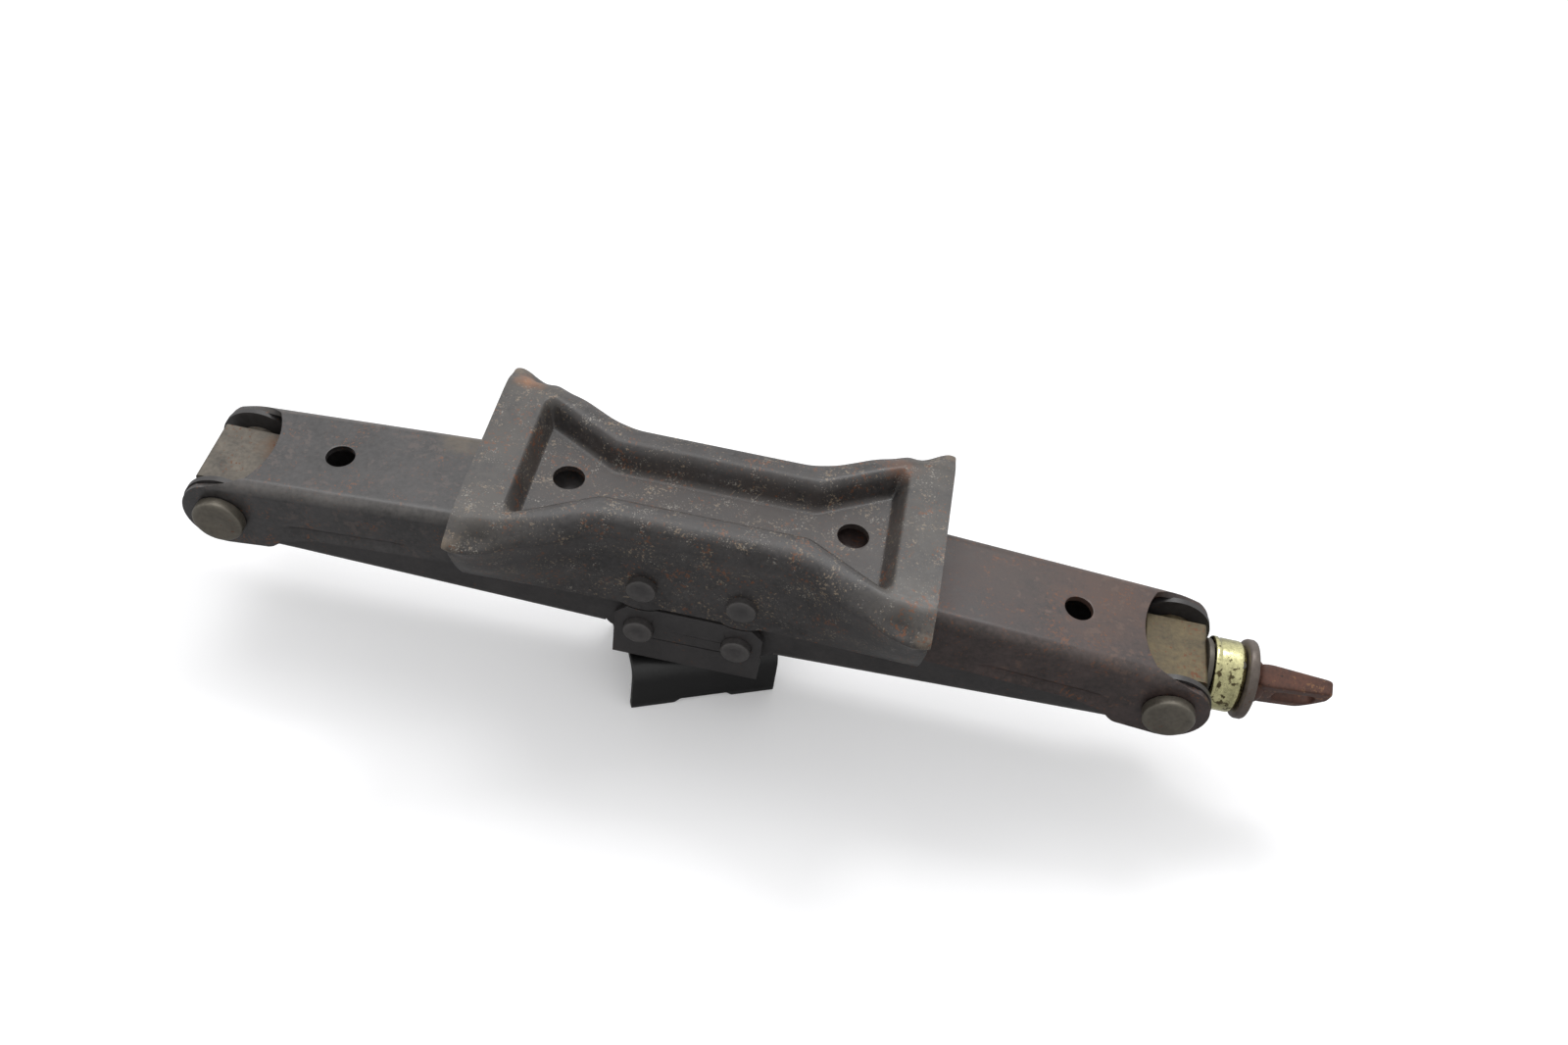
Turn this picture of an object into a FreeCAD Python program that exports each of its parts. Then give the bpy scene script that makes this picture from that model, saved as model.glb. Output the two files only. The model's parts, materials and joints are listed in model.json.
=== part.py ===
import FreeCAD, Part
import math
import os
import re
import Sketcher

# Compact screw-operated scissor jack, folded, standing on its load saddle with the ground plate uppermost.
# Row frame, mm: origin on the plane that the saddle's lips rest on, below the swivel rivet; +X along the
# lead screw towards the crank eye, +Y towards the far flanges, +Z up towards the ground plate.

SIZES = (
    ("pin_span", 360.0, "distance between the trunnion pins when folded"),
    ("pivot_half_spacing", 18.7, "half the distance between two geared pivots, the gears' pitch radius"),
    ("pivot_rise", 12.0, "height of the base pivots over the screw axis when folded"),
    ("screw_height", 56.0, "screw axis over the saddle's rest plane when folded"),
    ("full_lift_angle", 65.0, "arm angle from level at full lift, degrees"),
    ("arm_sheet", 2.3, "sheet thickness of the four arms"),
    ("plate_sheet", 2.5, "sheet thickness of the ground plate, bracket and saddle"),
    ("arm_half_width", 22.4, "half width over the outer arms"),
    ("layer_gap", 0.4, "side clearance between nested channels"),
    ("base_arm_height", 17.5, "web of an outer arm over its pivot line"),
    ("saddle_arm_height", 10.0, "web of an inner arm over its pivot line, gear end"),
    ("saddle_arm_height_out", 15.0, "web of an inner arm over its pivot line, trunnion end"),
    ("base_arm_edge", 7.0, "flange edge of an outer arm below its pivot line"),
    ("saddle_arm_edge", 8.0, "flange edge of an inner arm below its pivot line"),
    ("outer_ear_radius", 15.0, "ear of an outer arm round the trunnion pin"),
    ("inner_ear_radius", 15.5, "ear of an inner arm round the trunnion pin"),
    ("gear_ear_radius", 13.0, "plain side of an arm's geared end"),
    ("web_start", 9.0, "where an arm's web begins, from its geared pivot"),
    ("notch_reach", 15.5, "from the trunnion pin to the middle of the web's end notch"),
    ("notch_radius", 37.0, "radius of the web's end notch"),
    ("fold_radius", 4.5, "outside radius of the arms' folds"),
    ("web_hole_radius", 5.5, "hole in an outer arm's web"),
    ("web_hole_offset", 41.0, "web hole from the trunnion pin"),
    ("tooth_pitch", 18.0, "angle from one gear tooth to the next, degrees"),
    ("tooth_addendum", 1.5, "tooth above the pitch circle"),
    ("tooth_dedendum", 2.1, "tooth below the pitch circle"),
    ("pivot_pin_radius", 5.65, "four pivot pins of the plate and the bracket"),
    ("pivot_pin_proud", 2.9, "pivot pin end beyond the plate's flange"),
    ("pin_clearance", 0.05, "radial running clearance on a pin"),
    ("press_gap", 0.02, "radial gap where a pin is held fast"),
    ("open_pivot_clearance", 0.3, "radial clearance at the pivot where the loop is opened"),
    ("trunnion_pin_radius", 6.0, "shank of a trunnion pin"),
    ("trunnion_head_radius", 9.7, "head of a trunnion pin"),
    ("trunnion_head_thick", 4.5, "head of a trunnion pin"),
    ("trunnion_length", 24.0, "trunnion block along the screw"),
    ("trunnion_height", 20.0, "trunnion block"),
    ("trunnion_half_width", 14.0, "trunnion block without its bosses"),
    ("trunnion_boss_radius", 8.5, "boss between the block and the ear"),
    ("trunnion_pin_depth", 5.5, "how far a trunnion pin sits in the block"),
    ("screw_radius", 5.9, "lead screw over its threads"),
    ("screw_bore_clearance", 0.06, "radial clearance of the screw in the thrust trunnion"),
    ("nut_bore_clearance", 0.3, "radial clearance at the nut's thread, where the screw slides"),
    ("race_thick", 2.0, "thrust bearing race"),
    ("race_radius", 12.6, "thrust bearing race"),
    ("ball_radius", 2.5, "thrust bearing ball"),
    ("ball_circle", 9.3, "radius of the ring of balls"),
    ("ball_count", 10.0, "balls in the ring"),
    ("run_gap", 0.3, "gap between faces that turn past each other"),
    ("collar_radius", 13.9, "zinc-plated bearing collar"),
    ("collar_length", 12.2, "zinc-plated bearing collar"),
    ("thrust_washer_radius", 15.2, "dark washer behind the crank eye"),
    ("thrust_washer_thick", 4.2, "dark washer behind the crank eye"),
    ("retainer_radius", 1.5, "roll pin through the collar and screw"),
    ("neck_radius", 8.2, "round neck of the crank eye"),
    ("eye_length", 29.7, "crank eye from the washer to its tip"),
    ("eye_width", 18.0, "crank eye across its flat"),
    ("eye_thick", 9.2, "crank eye at the neck"),
    ("eye_tip_thick", 5.8, "crank eye at its tip"),
    ("eye_slot_length", 15.0, "slot for the crank hook"),
    ("eye_slot_width", 8.4, "slot for the crank hook"),
    ("eye_slot_offset", 17.5, "slot's middle from the washer"),
    ("eye_lean", 18.6, "the eye's lean from upright at rest, degrees"),
    ("plate_top", 43.5, "ground plate's face over the screw axis"),
    ("plate_floor", 34.4, "floor of the plate's hollow over the screw axis"),
    ("plate_edge", 1.3, "flange edge of the ground plate over the screw axis"),
    ("plate_half_length", 86.1, "half length of the ground plate"),
    ("plate_half_width", 48.5, "half width of the ground plate over its flared corners"),
    ("plate_waist_length", 34.0, "half length of the plate's narrow waist"),
    ("plate_hole_spacing", 106.2, "distance between the plate's two holes"),
    ("plate_hole_radius", 5.9, "holes in the plate's floor"),
    ("hollow_half_length", 66.7, "half length of the plate's hollow"),
    ("hollow_half_width", 25.0, "half width of the hollow at its ends"),
    ("hollow_waist_width", 8.5, "half width of the hollow at its waist"),
    ("lobe_radius", 12.9, "lobe of the plate's flange round a pivot pin"),
    ("bracket_half_length", 28.2, "half length of the saddle bracket"),
    ("bracket_edge", 0.5, "bracket's flange edge below the screw axis"),
    ("bracket_bottom", 29.0, "bracket's web below the screw axis"),
    ("bracket_corner", 5.0, "rounded corner of the bracket's flange"),
    ("gear_window_length", 17.0, "half length of the windows in the bracket's web"),
    ("gear_window_start", 16.6, "inner side of the windows in the bracket's web"),
    ("spacer_radius", 7.9, "spacer on a bracket pin"),
    ("saddle_half_length", 29.0, "half length of the load saddle"),
    ("saddle_half_width", 21.5, "half width of the load saddle"),
    ("saddle_web", 32.7, "saddle's web below the screw axis"),
    ("saddle_wall", 3.2, "wall of the load saddle"),
    ("saddle_shoulder", 7.0, "outside radius of the saddle's shoulders"),
    ("saddle_notch_depth", 2.0, "shallow notch in the saddle's lips"),
    ("saddle_notch_half", 11.0, "half length of the notch in the saddle's lips"),
    ("saddle_yaw", 23.4, "swivel of the saddle at rest, degrees"),
    ("rivet_radius", 5.0, "swivel rivet's shank"),
    ("rivet_head_radius", 8.0, "swivel rivet's heads"),
    ("rivet_head_thick", 2.6, "swivel rivet's heads"),
    ("swivel_washer_radius", 9.5, "washer between bracket and saddle"),
    ("rivet_head_bevel", 1.5, "bevel of the swivel rivet's heads"),
    ("shoulder_start", 38.75, "outer arm's lower edge starts down here, before the trunnion"),
    ("shoulder_knee", 20.9, "where the shoulder turns towards the ear, before the trunnion"),
    ("shoulder_end", 17.0, "where the shoulder meets the ear's level, before the trunnion"),
    ("shoulder_knee_drop", 3.6, "shoulder's knee below the arm's lower edge"),
    ("shoulder_end_rise", 0.6, "shoulder's end above the ear's lowest point"),
    ("bead_near", 86.0, "start of the bead along the outer arm, from the geared pivot"),
    ("bead_far", 143.0, "end of the bead along the outer arm, from the geared pivot"),
    ("bead_top", 0.5, "upper edge of the bead below the pivots' line"),
    ("bead_height", 5.2, "height of the bead"),
    ("bead_depth", 1.0, "how far the bead is pressed in"),
    ("trunnion_corner", 1.2, "rounded corners of the trunnion blocks"),
    ("turned_bevel", 0.8, "bevel of pin heads and of the dark washer"),
    ("screw_bevel", 1.0, "bevel at the screw's free end"),
    ("neck_length", 4.0, "round neck of the crank eye"),
    ("eye_taper_start", 6.0, "where the eye's flats start to taper, from its root"),
    ("eye_trim_start", 17.3, "where the eye's lower corner starts to be cut away, from its root"),
    ("eye_trim_rise", 1.6, "top of the cut at the eye's tip, above its middle"),
    ("retainer_offset", 2.4, "retaining pin before the dark washer"),
    ("retainer_short", 0.4, "how far the retaining pin stays inside the collar"),
    ("collar_bevel_in", 0.5, "bevel at the collar's open end"),
    ("collar_bevel_out", 1.2, "bevel at the collar's solid end"),
    ("hollow_flare", 4.4, "how much wider the plate's hollow is at its top, each side"),
    ("scallop_gap", 0.9, "room between the bracket's scallops and the plate's lobes"),
    ("notch_slant", 2.0, "slant at the ends of the saddle's notch"),
    ("tooth_root_share", 0.60, "tooth's half thickness at its root, in half pitches"),
    ("tooth_middle_share", 0.44, "tooth's half thickness at the pitch circle, in half pitches"),
    ("tooth_tip_share", 0.20, "tooth's half thickness at its tip, in half pitches"),
)

LENGTHS = (
    ("arm_run", "pin_span / 2 - pivot_half_spacing"),
    ("arm_length", "sqrt(arm_run * arm_run + pivot_rise * pivot_rise)"),
    ("inner_half_width", "arm_half_width - arm_sheet - layer_gap"),
    ("flange_inside", "arm_half_width + layer_gap"),
    ("flange_outside", "flange_inside + plate_sheet"),
    ("bore_radius", "pivot_pin_radius + pin_clearance"),
    ("trunnion_bore", "trunnion_pin_radius + pin_clearance"),
    ("root_radius", "pivot_half_spacing - tooth_dedendum"),
    ("tip_radius", "pivot_half_spacing + tooth_addendum"),
    ("trunnion_face", "pin_span / 2 + trunnion_length / 2"),
    ("ball_plane", "trunnion_face + race_thick + run_gap + ball_radius"),
    ("outer_race_face", "ball_plane + ball_radius + run_gap"),
    ("collar_start", "trunnion_face + race_thick + run_gap"),
    ("washer_face", "collar_start + collar_length"),
    ("eye_root", "washer_face + thrust_washer_thick"),
    ("screw_start", "trunnion_face - run_gap"),
    ("boss_face", "inner_half_width - arm_sheet - run_gap"),
)

SHEET_NAME = "Dimensions"
DERIVED_NAME = "Derived"
BEYOND = 60.0      # how far a cutting shape runs past what it cuts
TOOTH_COUNT = {"left": 4, "right": 5}
FIRST_TOOTH = {"left": 0.0, "right": -0.5}   # first tooth from the line of centres, in pitches
PATH_HEAD = re.compile(r"[A-Za-z_]\w*")

doc = FreeCAD.newDocument("scissor_jack")
sheet = doc.addObject("Spreadsheet::Sheet", SHEET_NAME)
derived = doc.addObject("App::VarSet", DERIVED_NAME)
size = {}
parts = []


def bound(text):
    """The text with every dimension's name turned into its place in the sheet or the set of lengths."""
    def place(match):
        word = match.group(0)
        if word in size:
            return f"{SHEET_NAME}.{word}" if word in driving else f"{DERIVED_NAME}.{word}"
        return word
    return PATH_HEAD.sub(place, text)


def fill_sheet():
    for row, (name, value, note) in enumerate(SIZES, start=1):
        sheet.set(f"A{row}", name)
        sheet.set(f"B{row}", str(value))
        sheet.set(f"C{row}", note)
        sheet.setAlias(f"B{row}", name)
    doc.recompute()
    for name, _, _ in SIZES:
        size[name] = float(sheet.get(name))


def fill_lengths():
    for name, text in LENGTHS:
        derived.addProperty("App::PropertyFloat", name, "Lengths")
        derived.setExpression(name, bound(text))
        doc.recompute()
        size[name] = float(getattr(derived, name))


driving = {name for name, _, _ in SIZES}
fill_sheet()
fill_lengths()
rest_angle = math.degrees(math.atan2(size["pivot_rise"], size["arm_run"]))
SKEW = "atan2(pivot_rise; arm_run)"


# ---------------------------------------------------------------- helpers for the pieces

def new_body(label):
    body = doc.addObject("PartDesign::Body", label)
    body.Label = label
    parts.append(body)
    return body


def origin_item(body, role):
    return next(item for item in body.Origin.OriginFeatures if item.Role == role)


def new_sketch(body, name, role="XZ_Plane", offset=None, turn=None):
    sketch = body.newObject("Sketcher::SketchObject", name)
    sketch.AttachmentSupport = (origin_item(body, role), [""])
    sketch.MapMode = "FlatFace"
    flat = FreeCAD.Rotation(FreeCAD.Vector(0, 0, 1), 0)
    sketch.AttachmentOffset = FreeCAD.Placement(FreeCAD.Vector(), flat)
    if offset:
        sketch.setExpression("AttachmentOffset.Base.z", bound(offset))
    if turn:
        sketch.setExpression("AttachmentOffset.Rotation.Angle", bound(turn))
    return sketch


def fix(sketch, geometry, point, x, y):
    for kind, text in (("DistanceX", x), ("DistanceY", y)):
        index = sketch.addConstraint(Sketcher.Constraint(kind, geometry, point, 1.0))
        sketch.setExpression(f"Constraints[{index}]", bound(str(text)))


def outline(sketch, points):
    """A closed outline of straight edges, each corner held by two dimensions."""
    count = len(points)
    ring = [FreeCAD.Vector(math.cos(2 * math.pi * k / count), math.sin(2 * math.pi * k / count), 0)
            for k in range(count)]
    first = sketch.GeometryCount
    for k in range(count):
        sketch.addGeometry(Part.LineSegment(ring[k], ring[(k + 1) % count]), False)
    for k, (x, y) in enumerate(points):
        sketch.addConstraint(Sketcher.Constraint("Coincident", first + k, 2, first + (k + 1) % count, 1))
        fix(sketch, first + k, 1, x, y)
    return sketch


def circle(sketch, x, y, radius):
    index = sketch.addGeometry(Part.Circle(FreeCAD.Vector(0, 0, 0), FreeCAD.Vector(0, 0, 1), 5.0), False)
    fix(sketch, index, 3, x, y)
    hold = sketch.addConstraint(Sketcher.Constraint("Radius", index, 5.0))
    sketch.setExpression(f"Constraints[{hold}]", bound(str(radius)))
    return sketch


def add(body, name, sketch, length, symmetric=True, backwards=False):
    return _extrude(body, "PartDesign::Pad", name, sketch, length, symmetric, backwards)


def cut(body, name, sketch, length, symmetric=True, backwards=False):
    feature = _extrude(body, "PartDesign::Pocket", name, sketch, length, symmetric, backwards)
    before = feature.BaseFeature.Shape.Volume
    doc.recompute()
    if not feature.Shape.Volume < before:
        raise RuntimeError(f"{body.Label}: {name} cuts nothing")
    return feature


def _extrude(body, kind, name, sketch, length, symmetric, backwards):
    feature = body.newObject(kind, name)
    feature.Profile = sketch
    feature.SideType = "Symmetric" if symmetric else "One side"
    feature.Reversed = backwards
    feature.setExpression("Length", bound(length))
    doc.recompute()
    return feature


def round_edges(body, name, radius, chosen):
    """Fillets the edges of the body's tip for which chosen(edge) holds."""
    base = body.Tip
    edges = [f"Edge{k}" for k, edge in enumerate(base.Shape.Edges, start=1) if chosen(edge)]
    if not edges:
        raise RuntimeError(f"{body.Label}: no edges for {name}")
    fillet = body.newObject("PartDesign::Fillet", name)
    fillet.Base = (base, edges)
    fillet.setExpression("Radius", bound(radius))
    doc.recompute()
    return fillet


def turned(label, profile, axis="Y", place=("0", "0", "0")):
    """A turned piece: corners (radius, distance along the axis), spun round its axis."""
    body = new_body(label)
    sketch = outline(new_sketch(body, f"{label}_profile", "XY_Plane"), profile)
    spin = body.newObject("PartDesign::Revolution", f"{label}_turned")
    spin.Profile = sketch
    spin.ReferenceAxis = (origin_item(body, "Y_Axis"), [""])
    spin.Angle = 360
    put(body, place, {"X": ((0, 0, 1), -90), "Y": ((0, 0, 1), 0), "Z": ((1, 0, 0), 90)}[axis])
    doc.recompute()
    return body


def put(item, place, turn=((0, 0, 1), 0), angle=None):
    """Places a piece: three lengths in the folded frame, measured from the screw axis, and one turn."""
    axis, degrees = turn
    item.Placement = FreeCAD.Placement(FreeCAD.Vector(), FreeCAD.Rotation(FreeCAD.Vector(*axis), degrees))
    for letter, text in zip("xyz", place):
        height = " + screw_height" if letter == "z" else ""
        item.setExpression(f"Placement.Base.{letter}", bound(f"({text}){height}"))
    if angle:
        item.setExpression("Placement.Rotation.Angle", bound(angle))


# ---------------------------------------------------------------- arms

def arm(label, side, half_width, gear_height, out_height, edge, ear_radius, outer):
    """A folded channel arm in its own frame: origin on the geared pivot, X to the trunnion, Z to its web."""
    body = new_body(label)
    slope = f"(({out_height}) - ({gear_height})) / (arm_length - web_start)"
    inside = f"(({gear_height}) - arm_sheet + ({slope}) * ({{}} - web_start))"
    width = f"2 * ({half_width})"
    gap = f"2 * (({half_width}) - arm_sheet)"
    shoulder = (
        ("arm_length", f"-({ear_radius})"),
        ("arm_length - shoulder_end", f"-({ear_radius}) + shoulder_end_rise"),
        ("arm_length - shoulder_knee", f"-({edge}) - shoulder_knee_drop"),
        ("arm_length - shoulder_start", f"-({edge})"),
    ) if outer else (("arm_length", f"-({edge})"),)
    flange = (
        ("web_start", gear_height),
        ("arm_length - notch_reach * 0.6", out_height),
        ("arm_length", ear_radius),
        *shoulder,
        ("web_start", f"-({edge})"),
        ("0", "-gear_ear_radius"),
        ("0", "gear_ear_radius"),
    )
    add(body, f"{label}_flanges", outline(new_sketch(body, f"{label}_side"), flange), width)
    round_edges(body, f"{label}_fold", "fold_radius", lambda edge: is_fold(edge, size[half_width]))
    for name, x, radius in (("gear_ear", "0", "gear_ear_radius"), ("ear", "arm_length", ear_radius)):
        add(body, f"{label}_{name}", circle(new_sketch(body, f"{label}_{name}_round"), x, "0", radius), width)
    add_teeth(body, label, side, width)
    hollow = (
        (f"-{BEYOND}", f"-{BEYOND}"),
        (f"arm_length + {BEYOND}", f"-{BEYOND}"),
        (f"arm_length + {BEYOND}", f"{BEYOND}"),
        ("arm_length - notch_reach * 0.5", f"{BEYOND}"),
        ("arm_length - notch_reach * 0.5", inside.format("arm_length")),
        ("web_start", inside.format("web_start")),
        ("web_start", f"{BEYOND}"),
        (f"-{BEYOND}", f"{BEYOND}"),
    )
    cut(body, f"{label}_hollow", outline(new_sketch(body, f"{label}_inside"), hollow), gap)
    round_edges(body, f"{label}_inner_fold", "fold_radius - arm_sheet",
                lambda edge: is_fold(edge, size[half_width] - size["arm_sheet"]))
    notch = new_sketch(body, f"{label}_notch_round", "XY_Plane", f"({out_height}) + 1")
    outline(notch, notch_corners(f"({half_width}) - arm_sheet"))
    cut(body, f"{label}_notch", notch, "arm_sheet + 3", symmetric=False)
    if outer:
        hole = new_sketch(body, f"{label}_hole_round", "XY_Plane", f"({out_height}) + 1")
        circle(hole, "arm_length - web_hole_offset", "0", "web_hole_radius")
        cut(body, f"{label}_hole", hole, "arm_sheet + 2", symmetric=False)
        press_beads(body, label, half_width)
    open_pivot = label == "base_arm_right"
    pivot_bore = "pivot_pin_radius + open_pivot_clearance" if open_pivot else "bore_radius"
    bores = (("pivot_bore", "0", pivot_bore), ("trunnion_bore", "arm_length", "trunnion_bore"))
    for name, x, radius in bores:
        cut(body, f"{label}_{name}", circle(new_sketch(body, f"{label}_{name}_round"), x, "0", radius),
            f"2 * ({half_width}) + 2")
    return body


def press_beads(body, label, half_width):
    """A long shallow bead pressed into each flange of an outer arm, below the pivots' line."""
    low = "-bead_top - bead_height"
    slope = "bead_height"
    corners = ((f"bead_near + {slope}", "-bead_top"), ("bead_near", "-bead_top - bead_height / 2"),
               (f"bead_near + {slope}", low), (f"bead_far - {slope}", low),
               ("bead_far", "-bead_top - bead_height / 2"), (f"bead_far - {slope}", "-bead_top"))
    for name, back in (("front", False), ("back", True)):
        offset = f"-({half_width}) - 1" if back else f"({half_width}) + 1"
        bead = outline(new_sketch(body, f"{label}_{name}_bead_side", offset=offset), corners)
        cut(body, f"{label}_{name}_bead", bead, "bead_depth + 1", symmetric=False, backwards=back)


def is_fold(edge, y):
    """The long edges where the web meets a flange."""
    box = edge.BoundBox
    on_side = abs(abs(box.YMin) - y) < 0.01 and abs(abs(box.YMax) - y) < 0.01
    return on_side and box.XLength > size["arm_length"] / 2 and box.ZMin > 0


def notch_corners(half_gap, steps=12):
    """The notch that clears the trunnion: a shallow arc across the web, closed beyond the ear."""
    middle = "(arm_length - notch_reach + notch_radius)"
    arc = []
    for k in range(steps + 1):
        y = f"({half_gap}) * {2 * k / steps - 1}"
        arc.append((f"{middle} - sqrt(notch_radius * notch_radius - ({y}) * ({y}))", y))
    return arc + [(f"arm_length + {BEYOND}", half_gap), (f"arm_length + {BEYOND}", f"-({half_gap})")]


def add_teeth(body, label, side, width):
    """Gear teeth round the pivot; the first lies on the line of centres, or half a pitch off it."""
    half = size["tooth_pitch"] / 2
    turn = f"180 deg + {SKEW} + tooth_pitch * {FIRST_TOOTH[side]} * 1 deg"
    sketch = new_sketch(body, f"{label}_tooth_side", turn=turn)
    flank = (("gear_ear_radius - 2", 1.0), ("root_radius", 1.0), ("root_radius", size["tooth_root_share"]),
             ("pivot_half_spacing", size["tooth_middle_share"]), ("tip_radius", size["tooth_tip_share"]))
    upper = [(f"({r}) * cos({k * half})", f"({r}) * sin({k * half})") for r, k in flank]
    lower = [(x, f"-({y})") for x, y in reversed(upper)]
    tooth = add(body, f"{label}_tooth", outline(sketch, upper + lower), width)
    ring = body.newObject("PartDesign::PolarPattern", f"{label}_teeth")
    ring.Originals = [tooth]
    ring.Axis = (origin_item(body, "Y_Axis"), [""])
    ring.Reversed = True
    ring.Occurrences = TOOTH_COUNT[side]
    ring.setExpression("Angle", bound(f"tooth_pitch * {TOOTH_COUNT[side] - 1}"))
    body.Tip = ring
    doc.recompute()


def place_arm(body, side, above):
    """Turns an arm from its own frame to the folded frame and sets it on its geared pivot."""
    turn_left = FreeCAD.Rotation(FreeCAD.Vector(0, 0, 1), 180 if side == "left" else 0)
    flip = FreeCAD.Rotation(FreeCAD.Vector(1, 0, 0), 0 if above else 180)
    dip = FreeCAD.Rotation(FreeCAD.Vector(0, 1, 0), rest_angle)
    sign = "-" if side == "left" else ""
    put(body, (f"{sign}pivot_half_spacing", "0", "pivot_rise" if above else "-pivot_rise"))
    body.Placement = FreeCAD.Placement(body.Placement.Base, turn_left.multiply(flip).multiply(dip))


def make_arms():
    for side in ("left", "right"):
        base_arm = arm(f"base_arm_{side}", side, "arm_half_width", "base_arm_height", "base_arm_height",
                       "base_arm_edge", "outer_ear_radius", True)
        place_arm(base_arm, side, True)
        saddle_arm = arm(f"saddle_arm_{side}", side, "inner_half_width", "saddle_arm_height",
                         "saddle_arm_height_out", "saddle_arm_edge", "inner_ear_radius", False)
        place_arm(saddle_arm, side, False)


# ---------------------------------------------------------------- pins, spacers and trunnions

def make_pivot_pins():
    for side, sign in (("left", "-"), ("right", "")):
        for group, level in (("base", "pivot_rise"), ("bracket", "-pivot_rise")):
            end = "flange_outside + pivot_pin_proud"
            turned(f"{group}_pivot_pin_{side}",
                   (("0", f"-({end})"), ("pivot_pin_radius", f"-({end})"),
                    ("pivot_pin_radius", end), ("0", end)),
                   place=(f"{sign}pivot_half_spacing", "0", level))


def make_bracket_spacers():
    """Four loose rings on the bracket's pins, between its flanges and the inner arms."""
    rings = []
    for x in ("-pivot_half_spacing", "pivot_half_spacing"):
        for start in ("inner_half_width + run_gap", "-(flange_inside)"):
            ring = doc.addObject("Part::Cylinder", "spacer_blank")
            ring.setExpression("Radius", bound("spacer_radius"))
            hole = doc.addObject("Part::Cylinder", "spacer_bore")
            hole.setExpression("Radius", bound("bore_radius"))
            for item in (ring, hole):
                item.setExpression("Height", bound("flange_inside - inner_half_width - run_gap"))
                put(item, (x, start, "-pivot_rise"), ((1, 0, 0), -90))
            piece = doc.addObject("Part::Cut", "bracket_spacer")
            piece.Base = ring
            piece.Tool = hole
            rings.append(piece)
    group_of("bracket_spacers", rings)


def group_of(label, pieces):
    group = doc.addObject("Part::Compound", label)
    group.Label = label
    group.Links = pieces
    parts.append(group)
    doc.recompute()
    return group


def trunnion(label, x, bore):
    """A forged block on the screw with a round boss on each side, bored for the screw and the two pins."""
    body = new_body(label)
    half_length, half_height = "trunnion_length / 2", "trunnion_height / 2"
    block = outline(new_sketch(body, f"{label}_side"), (
        (f"-{half_length}", f"-{half_height}"), (half_length, f"-{half_height}"),
        (half_length, half_height), (f"-{half_length}", half_height)))
    add(body, f"{label}_block", block, "2 * trunnion_half_width")
    round_edges(body, f"{label}_corners", "trunnion_corner",
                lambda edge: edge.BoundBox.YLength > size["trunnion_half_width"])
    boss = circle(new_sketch(body, f"{label}_boss_round"), "0", "0", "trunnion_boss_radius")
    add(body, f"{label}_bosses", boss, "2 * boss_face")
    screw_bore = circle(new_sketch(body, f"{label}_screw_bore", "YZ_Plane"), "0", "0", bore)
    cut(body, f"{label}_bored", screw_bore, "trunnion_length + 2")
    for name, back in (("front", False), ("back", True)):
        hole = new_sketch(body, f"{label}_{name}_hole", offset="-boss_face - 1" if back else "boss_face + 1")
        circle(hole, "0", "0", "trunnion_pin_radius")
        cut(body, f"{label}_{name}_bored", hole, "boss_face - trunnion_half_width + trunnion_pin_depth + 1",
            symmetric=False, backwards=back)
    put(body, (x, "0", "0"))
    return body


def make_trunnions():
    for label, x, bore in (("nut_trunnion", "-pin_span / 2", "screw_radius + nut_bore_clearance"),
                           ("thrust_trunnion", "pin_span / 2", "screw_radius + screw_bore_clearance")):
        trunnion(label, x, bore)
        inner_end = "trunnion_half_width - trunnion_pin_depth"
        head = "arm_half_width + run_gap"
        top = f"{head} + trunnion_head_thick"
        for name, sign in (("front", "-"), ("back", "")):
            corners = (("0", inner_end), ("trunnion_pin_radius", inner_end), ("trunnion_pin_radius", head),
                       ("trunnion_head_radius", head), ("trunnion_head_radius", f"{top} - turned_bevel"),
                       ("trunnion_head_radius - turned_bevel", top), ("0", top))
            profile = [(r, f"{sign}({y})") for r, y in corners]
            turned(f"{label}_pin_{name}", profile, place=(x, "0", "0"))


# ---------------------------------------------------------------- lead screw, bearing and crank eye

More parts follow.
